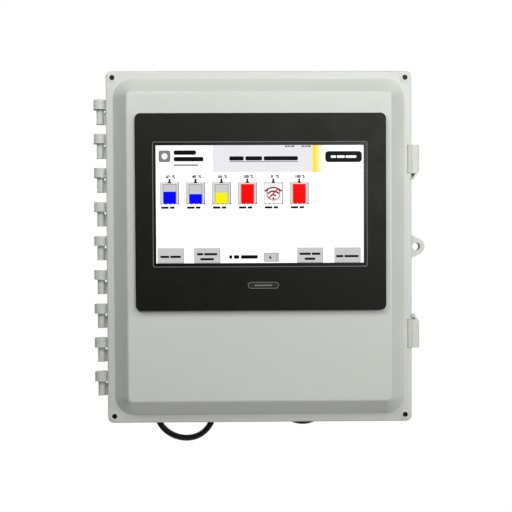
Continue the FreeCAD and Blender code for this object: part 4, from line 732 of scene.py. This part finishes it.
def draw_key(page, left, lines):
    """A grey key with lighter upper and darker lower edges, and bars for one or two lines of words."""
    top, width, height, edge = KEY_TOP, KEY_WIDTH, KEY_HEIGHT, KEY_EDGE
    page.bar(left, top, width, height, "key", PANEL)
    page.bar(left, top, width, edge, "light", MARK)
    page.bar(left, top + edge, edge, height - edge, "light", MARK)
    page.bar(left + edge, top + height - edge, width - edge, edge, "mid", MARK)
    page.bar(left + width - edge, top + edge, edge, height - 2 * edge, "mid", MARK)
    first = top + KEY_WORD_DROP - KEY_ROW_PITCH / 2 * (len(lines) - 1) - KEY_WORD_HEIGHT / 2
    for row, lengths in enumerate(lines):
        long = sum(lengths) + KEY_WORD_GAP * (len(lengths) - 1)
        start = left + (width - long) / 2
        page.words(start, first + KEY_ROW_PITCH * row, lengths, KEY_WORD_HEIGHT, KEY_WORD_GAP, "black", MARK)


def draw_footer(page):
    for left, lines in KEYS:
        draw_key(page, left, lines)
    page.words(*COUNTER_ROW, "black", PANEL)
    page.bar(*COUNTER_BOX, "key", PANEL)
    page.border(*COUNTER_BOX, KEY_EDGE, "mid", MARK)
    page.bar(*COUNTER_STEP_BOX, "mid", MARK)
    page.digits("6", *COUNTER_MIDDLE, COUNTER_FIGURE, "black", MARK)


def make_screen():
    """The lit page, on the front face of the touch overlay."""
    page = Page(-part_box("touch_overlay")[0].y)
    fade_span = [page.place(right, 0.0)[0] for right in (FADE_START, FADE_RIGHT)]
    page.ink("page", lit("lit_white", linear(255, 255, 255), 0.1, 1.08))
    page.ink("header", lit("lit_header", linear(235, 234, 239)))
    page.ink("fade", lit_fade("lit_fade", *fade_span, linear(252, 226, 16), linear(255, 255, 250)))
    page.ink("light", lit("lit_light_grey", linear(220, 220, 218)))
    page.ink("mid_light", lit("lit_gauge_grey", linear(205, 205, 205)))
    page.ink("key", lit("lit_key_grey", linear(201, 201, 202)))
    page.ink("mid", lit("lit_mid_grey", linear(132, 132, 132)))
    page.ink("dark", lit("lit_dark_grey", linear(66, 68, 70)))
    page.ink("black", lit("lit_black", linear(14, 14, 15)))
    page.ink("blue", lit("lit_blue", linear(2, 2, 255)))
    page.ink("yellow", lit("lit_yellow", linear(250, 244, 10)))
    page.ink("red", lit("lit_red", linear(255, 2, 3)))
    page.ink("sign", lit("lit_sign_red", linear(216, 34, 48)))
    page.bar(0.0, 0.0, page.WIDTH, page.HEIGHT, "page", SHEET)
    draw_header(page)
    draw_emblems(page)
    for index in range(len(TANKS)):
        draw_tank(page, index)
    draw_footer(page)
    finish_piece(page.mesh, "screen_page", "cover_assembly", page.materials)


make_screen()


# ---------------------------------------------------------------- terminal front

# The bezel's window, in millimetres: its width and height, its centre, its corner radius, and the width of
# the chamfer round it.
WINDOW_SIZE = (229.8, 133.3)
WINDOW_CENTRE = (1.0, 46.1)
WINDOW_CORNER = 1.5
WINDOW_CHAMFER = 1.0
# The strip of painted highlight in that chamfer, grey over the black bezel: how far it stays off the window,
# goes back from the bezel's face, and stands proud of it.
HIGHLIGHT_INSET = 0.05
HIGHLIGHT_DEEP = 0.9
HIGHLIGHT_PROUD = 0.04


def ring_plate(mesh, outer, inner, back, front):
    """A closed flat ring between two outlines with the same number of points."""
    rings = [
        [mesh.verts.new((x, -station, z)) for x, z in outline]
        for outline, station in ((outer, back), (outer, front), (inner, front), (inner, back))
    ]
    count = len(outer)
    for index in range(count):
        after = (index + 1) % count
        for ring, following in zip(rings, rings[1:] + rings[:1]):
            mesh.faces.new((ring[index], ring[after], following[after], following[index]))


def window_outline(margin, corner):
    """The window's outline, moved out by `margin` millimetres."""
    half_width, half_height = (size / 2 + margin for size in WINDOW_SIZE)
    x, z = WINDOW_CENTRE
    edges = (x - half_width, x + half_width, z - half_height, z + half_height, corner)
    return rounded_outline(*(edge * MM for edge in edges))


# Mid grey painted on the black bezel's chamfer: a painted highlight, not a grey part.
def grey_moulding():
    surface = Surface("grey_moulding", specular=0.3)
    surface.mottle(linear(104, 104, 102), 0.06, 260.0)
    surface.vary_roughness(0.4, 0.55, 120.0)
    surface.bump(surface.noise(1500.0), 0.00001, 0.4)
    return surface.material


def make_window_trim():
    """A painted highlight round the display: a grey strip over the chamfer of the black bezel's window, for
    the light the chamfer catches.
    """
    front = -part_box("hmi_bezel")[0].y
    mesh = bmesh.new()
    outer = window_outline(WINDOW_CHAMFER, WINDOW_CORNER + WINDOW_CHAMFER)
    inner = window_outline(HIGHLIGHT_INSET, WINDOW_CORNER + HIGHLIGHT_INSET)
    ring_plate(mesh, outer, inner, front - HIGHLIGHT_DEEP * MM, front + HIGHLIGHT_PROUD * MM)
    finish_piece(mesh, "painted_highlight_strip", "cover_assembly", [grey_moulding()])


make_window_trim()


# ---------------------------------------------------------------- badge

# In metres: the rim's two edges in from the badge's own edge, the bar's half sizes, and how high both stand.
BADGE_RIM_INSETS = (0.3 * MM, 0.85 * MM)
BADGE_BAR_HALF = (9.5 * MM, 0.7 * MM)
BADGE_RISE = 0.12 * MM


def silver_print():
    surface = Surface("silver_print", metallic=0.3)
    surface.mottle(linear(128, 129, 126), 0.1, 300.0)
    surface.vary_roughness(0.35, 0.5, 200.0)
    surface.bump(surface.noise(1500.0), 0.00001, 0.4)
    return surface.material


def make_badge_rim():
    """A thin raised rim and a plain bar on the badge plate below the window."""
    low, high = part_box("badge")
    front = -low.y
    mesh = bmesh.new()
    rim = []
    for inset in BADGE_RIM_INSETS:
        edges = (low.x + inset, high.x - inset, low.z + inset, high.z - inset)
        rim.append(rounded_outline(*edges, (high.z - low.z) / 2 - inset, 16))
    ring_plate(mesh, *rim, front, front + BADGE_RISE)
    middle_x, middle_z = (low.x + high.x) / 2, (low.z + high.z) / 2
    half_long, half_tall = BADGE_BAR_HALF
    edges = (middle_x - half_long, middle_x + half_long, middle_z - half_tall, middle_z + half_tall)
    plate(mesh, rounded_outline(*edges, half_tall * 0.9), front, front + BADGE_RISE)
    finish_piece(mesh, "badge_rim", "cover_assembly", [silver_print()])


make_badge_rim()


# ---------------------------------------------------------------- floor, light and backdrop

FLOOR_HEIGHT = -0.80
FLOOR_HALF = 0.70
SKY_STRENGTH = 0.05
# Name, place, size and power of each soft light; all of them face the point LIGHT_AIM.
LIGHTS = (
    ("key_left", (-0.50, -1.00, 0.70), 0.4, 5.0),
    ("key_right", (0.30, -0.90, 0.80), 0.4, 2.5),
    ("front_right", (0.50, -1.60, 0.30), 0.5, 4.8),
    ("front_high", (0.10, -1.80, 0.60), 0.6, 3.1),
    ("side_right", (1.20, -0.80, 0.20), 0.5, 5.6),
    ("rear_left", (-1.10, 1.10, 0.50), 0.9, 20.0),
    ("rear_right", (1.10, 1.10, 0.80), 0.9, 8.0),
)
LIGHT_AIM = (0.0, -0.2, 0.0)


def make_floor():
    surface = Surface("pale_floor", roughness=0.8, specular=0.2)
    surface.mottle(linear(236, 236, 234), 0.01, 3.0)
    mesh = bmesh.new()
    corners = box_outline(-FLOOR_HALF, FLOOR_HALF, -FLOOR_HALF, FLOOR_HALF)
    mesh.faces.new([mesh.verts.new((x, y, FLOOR_HEIGHT)) for x, y in corners])
    data = bpy.data.meshes.new("floor")
    mesh.to_mesh(data)
    mesh.free()
    data.materials.append(surface.material)
    floor = bpy.data.objects.new("floor", data)
    bpy.context.scene.collection.objects.link(floor)


def area_light(name, place, size, power):
    data = bpy.data.lights.new(name, "AREA")
    data.size = size
    data.energy = power
    light = bpy.data.objects.new(name, data)
    light.location = place
    light.rotation_euler = (Vector(LIGHT_AIM) - Vector(place)).to_track_quat("-Z", "Y").to_euler()
    bpy.context.scene.collection.objects.link(light)


def make_backdrop():
    """White behind the object for the camera, and a dim, even sky for everything else."""
    world = bpy.data.worlds.new("studio")
    world.use_nodes = True
    tree = world.node_tree
    output = tree.nodes["World Output"]
    white = tree.nodes["Background"]
    white.inputs["Color"].default_value = (1.0, 1.0, 1.0, 1.0)
    sky = tree.nodes.new("ShaderNodeBackground")
    sky.inputs["Color"].default_value = (0.97, 0.98, 1.0, 1.0)
    sky.inputs["Strength"].default_value = SKY_STRENGTH
    switch = tree.nodes.new("ShaderNodeMixShader")
    rays = tree.nodes.new("ShaderNodeLightPath")
    tree.links.new(rays.outputs["Is Camera Ray"], switch.inputs["Fac"])
    tree.links.new(sky.outputs["Background"], switch.inputs[1])
    tree.links.new(white.outputs["Background"], switch.inputs[2])
    tree.links.new(switch.outputs["Shader"], output.inputs["Surface"])
    bpy.context.scene.world = world
    bpy.context.scene.view_settings.view_transform = "Standard"


make_floor()
make_backdrop()
for light in LIGHTS:
    area_light(*light)
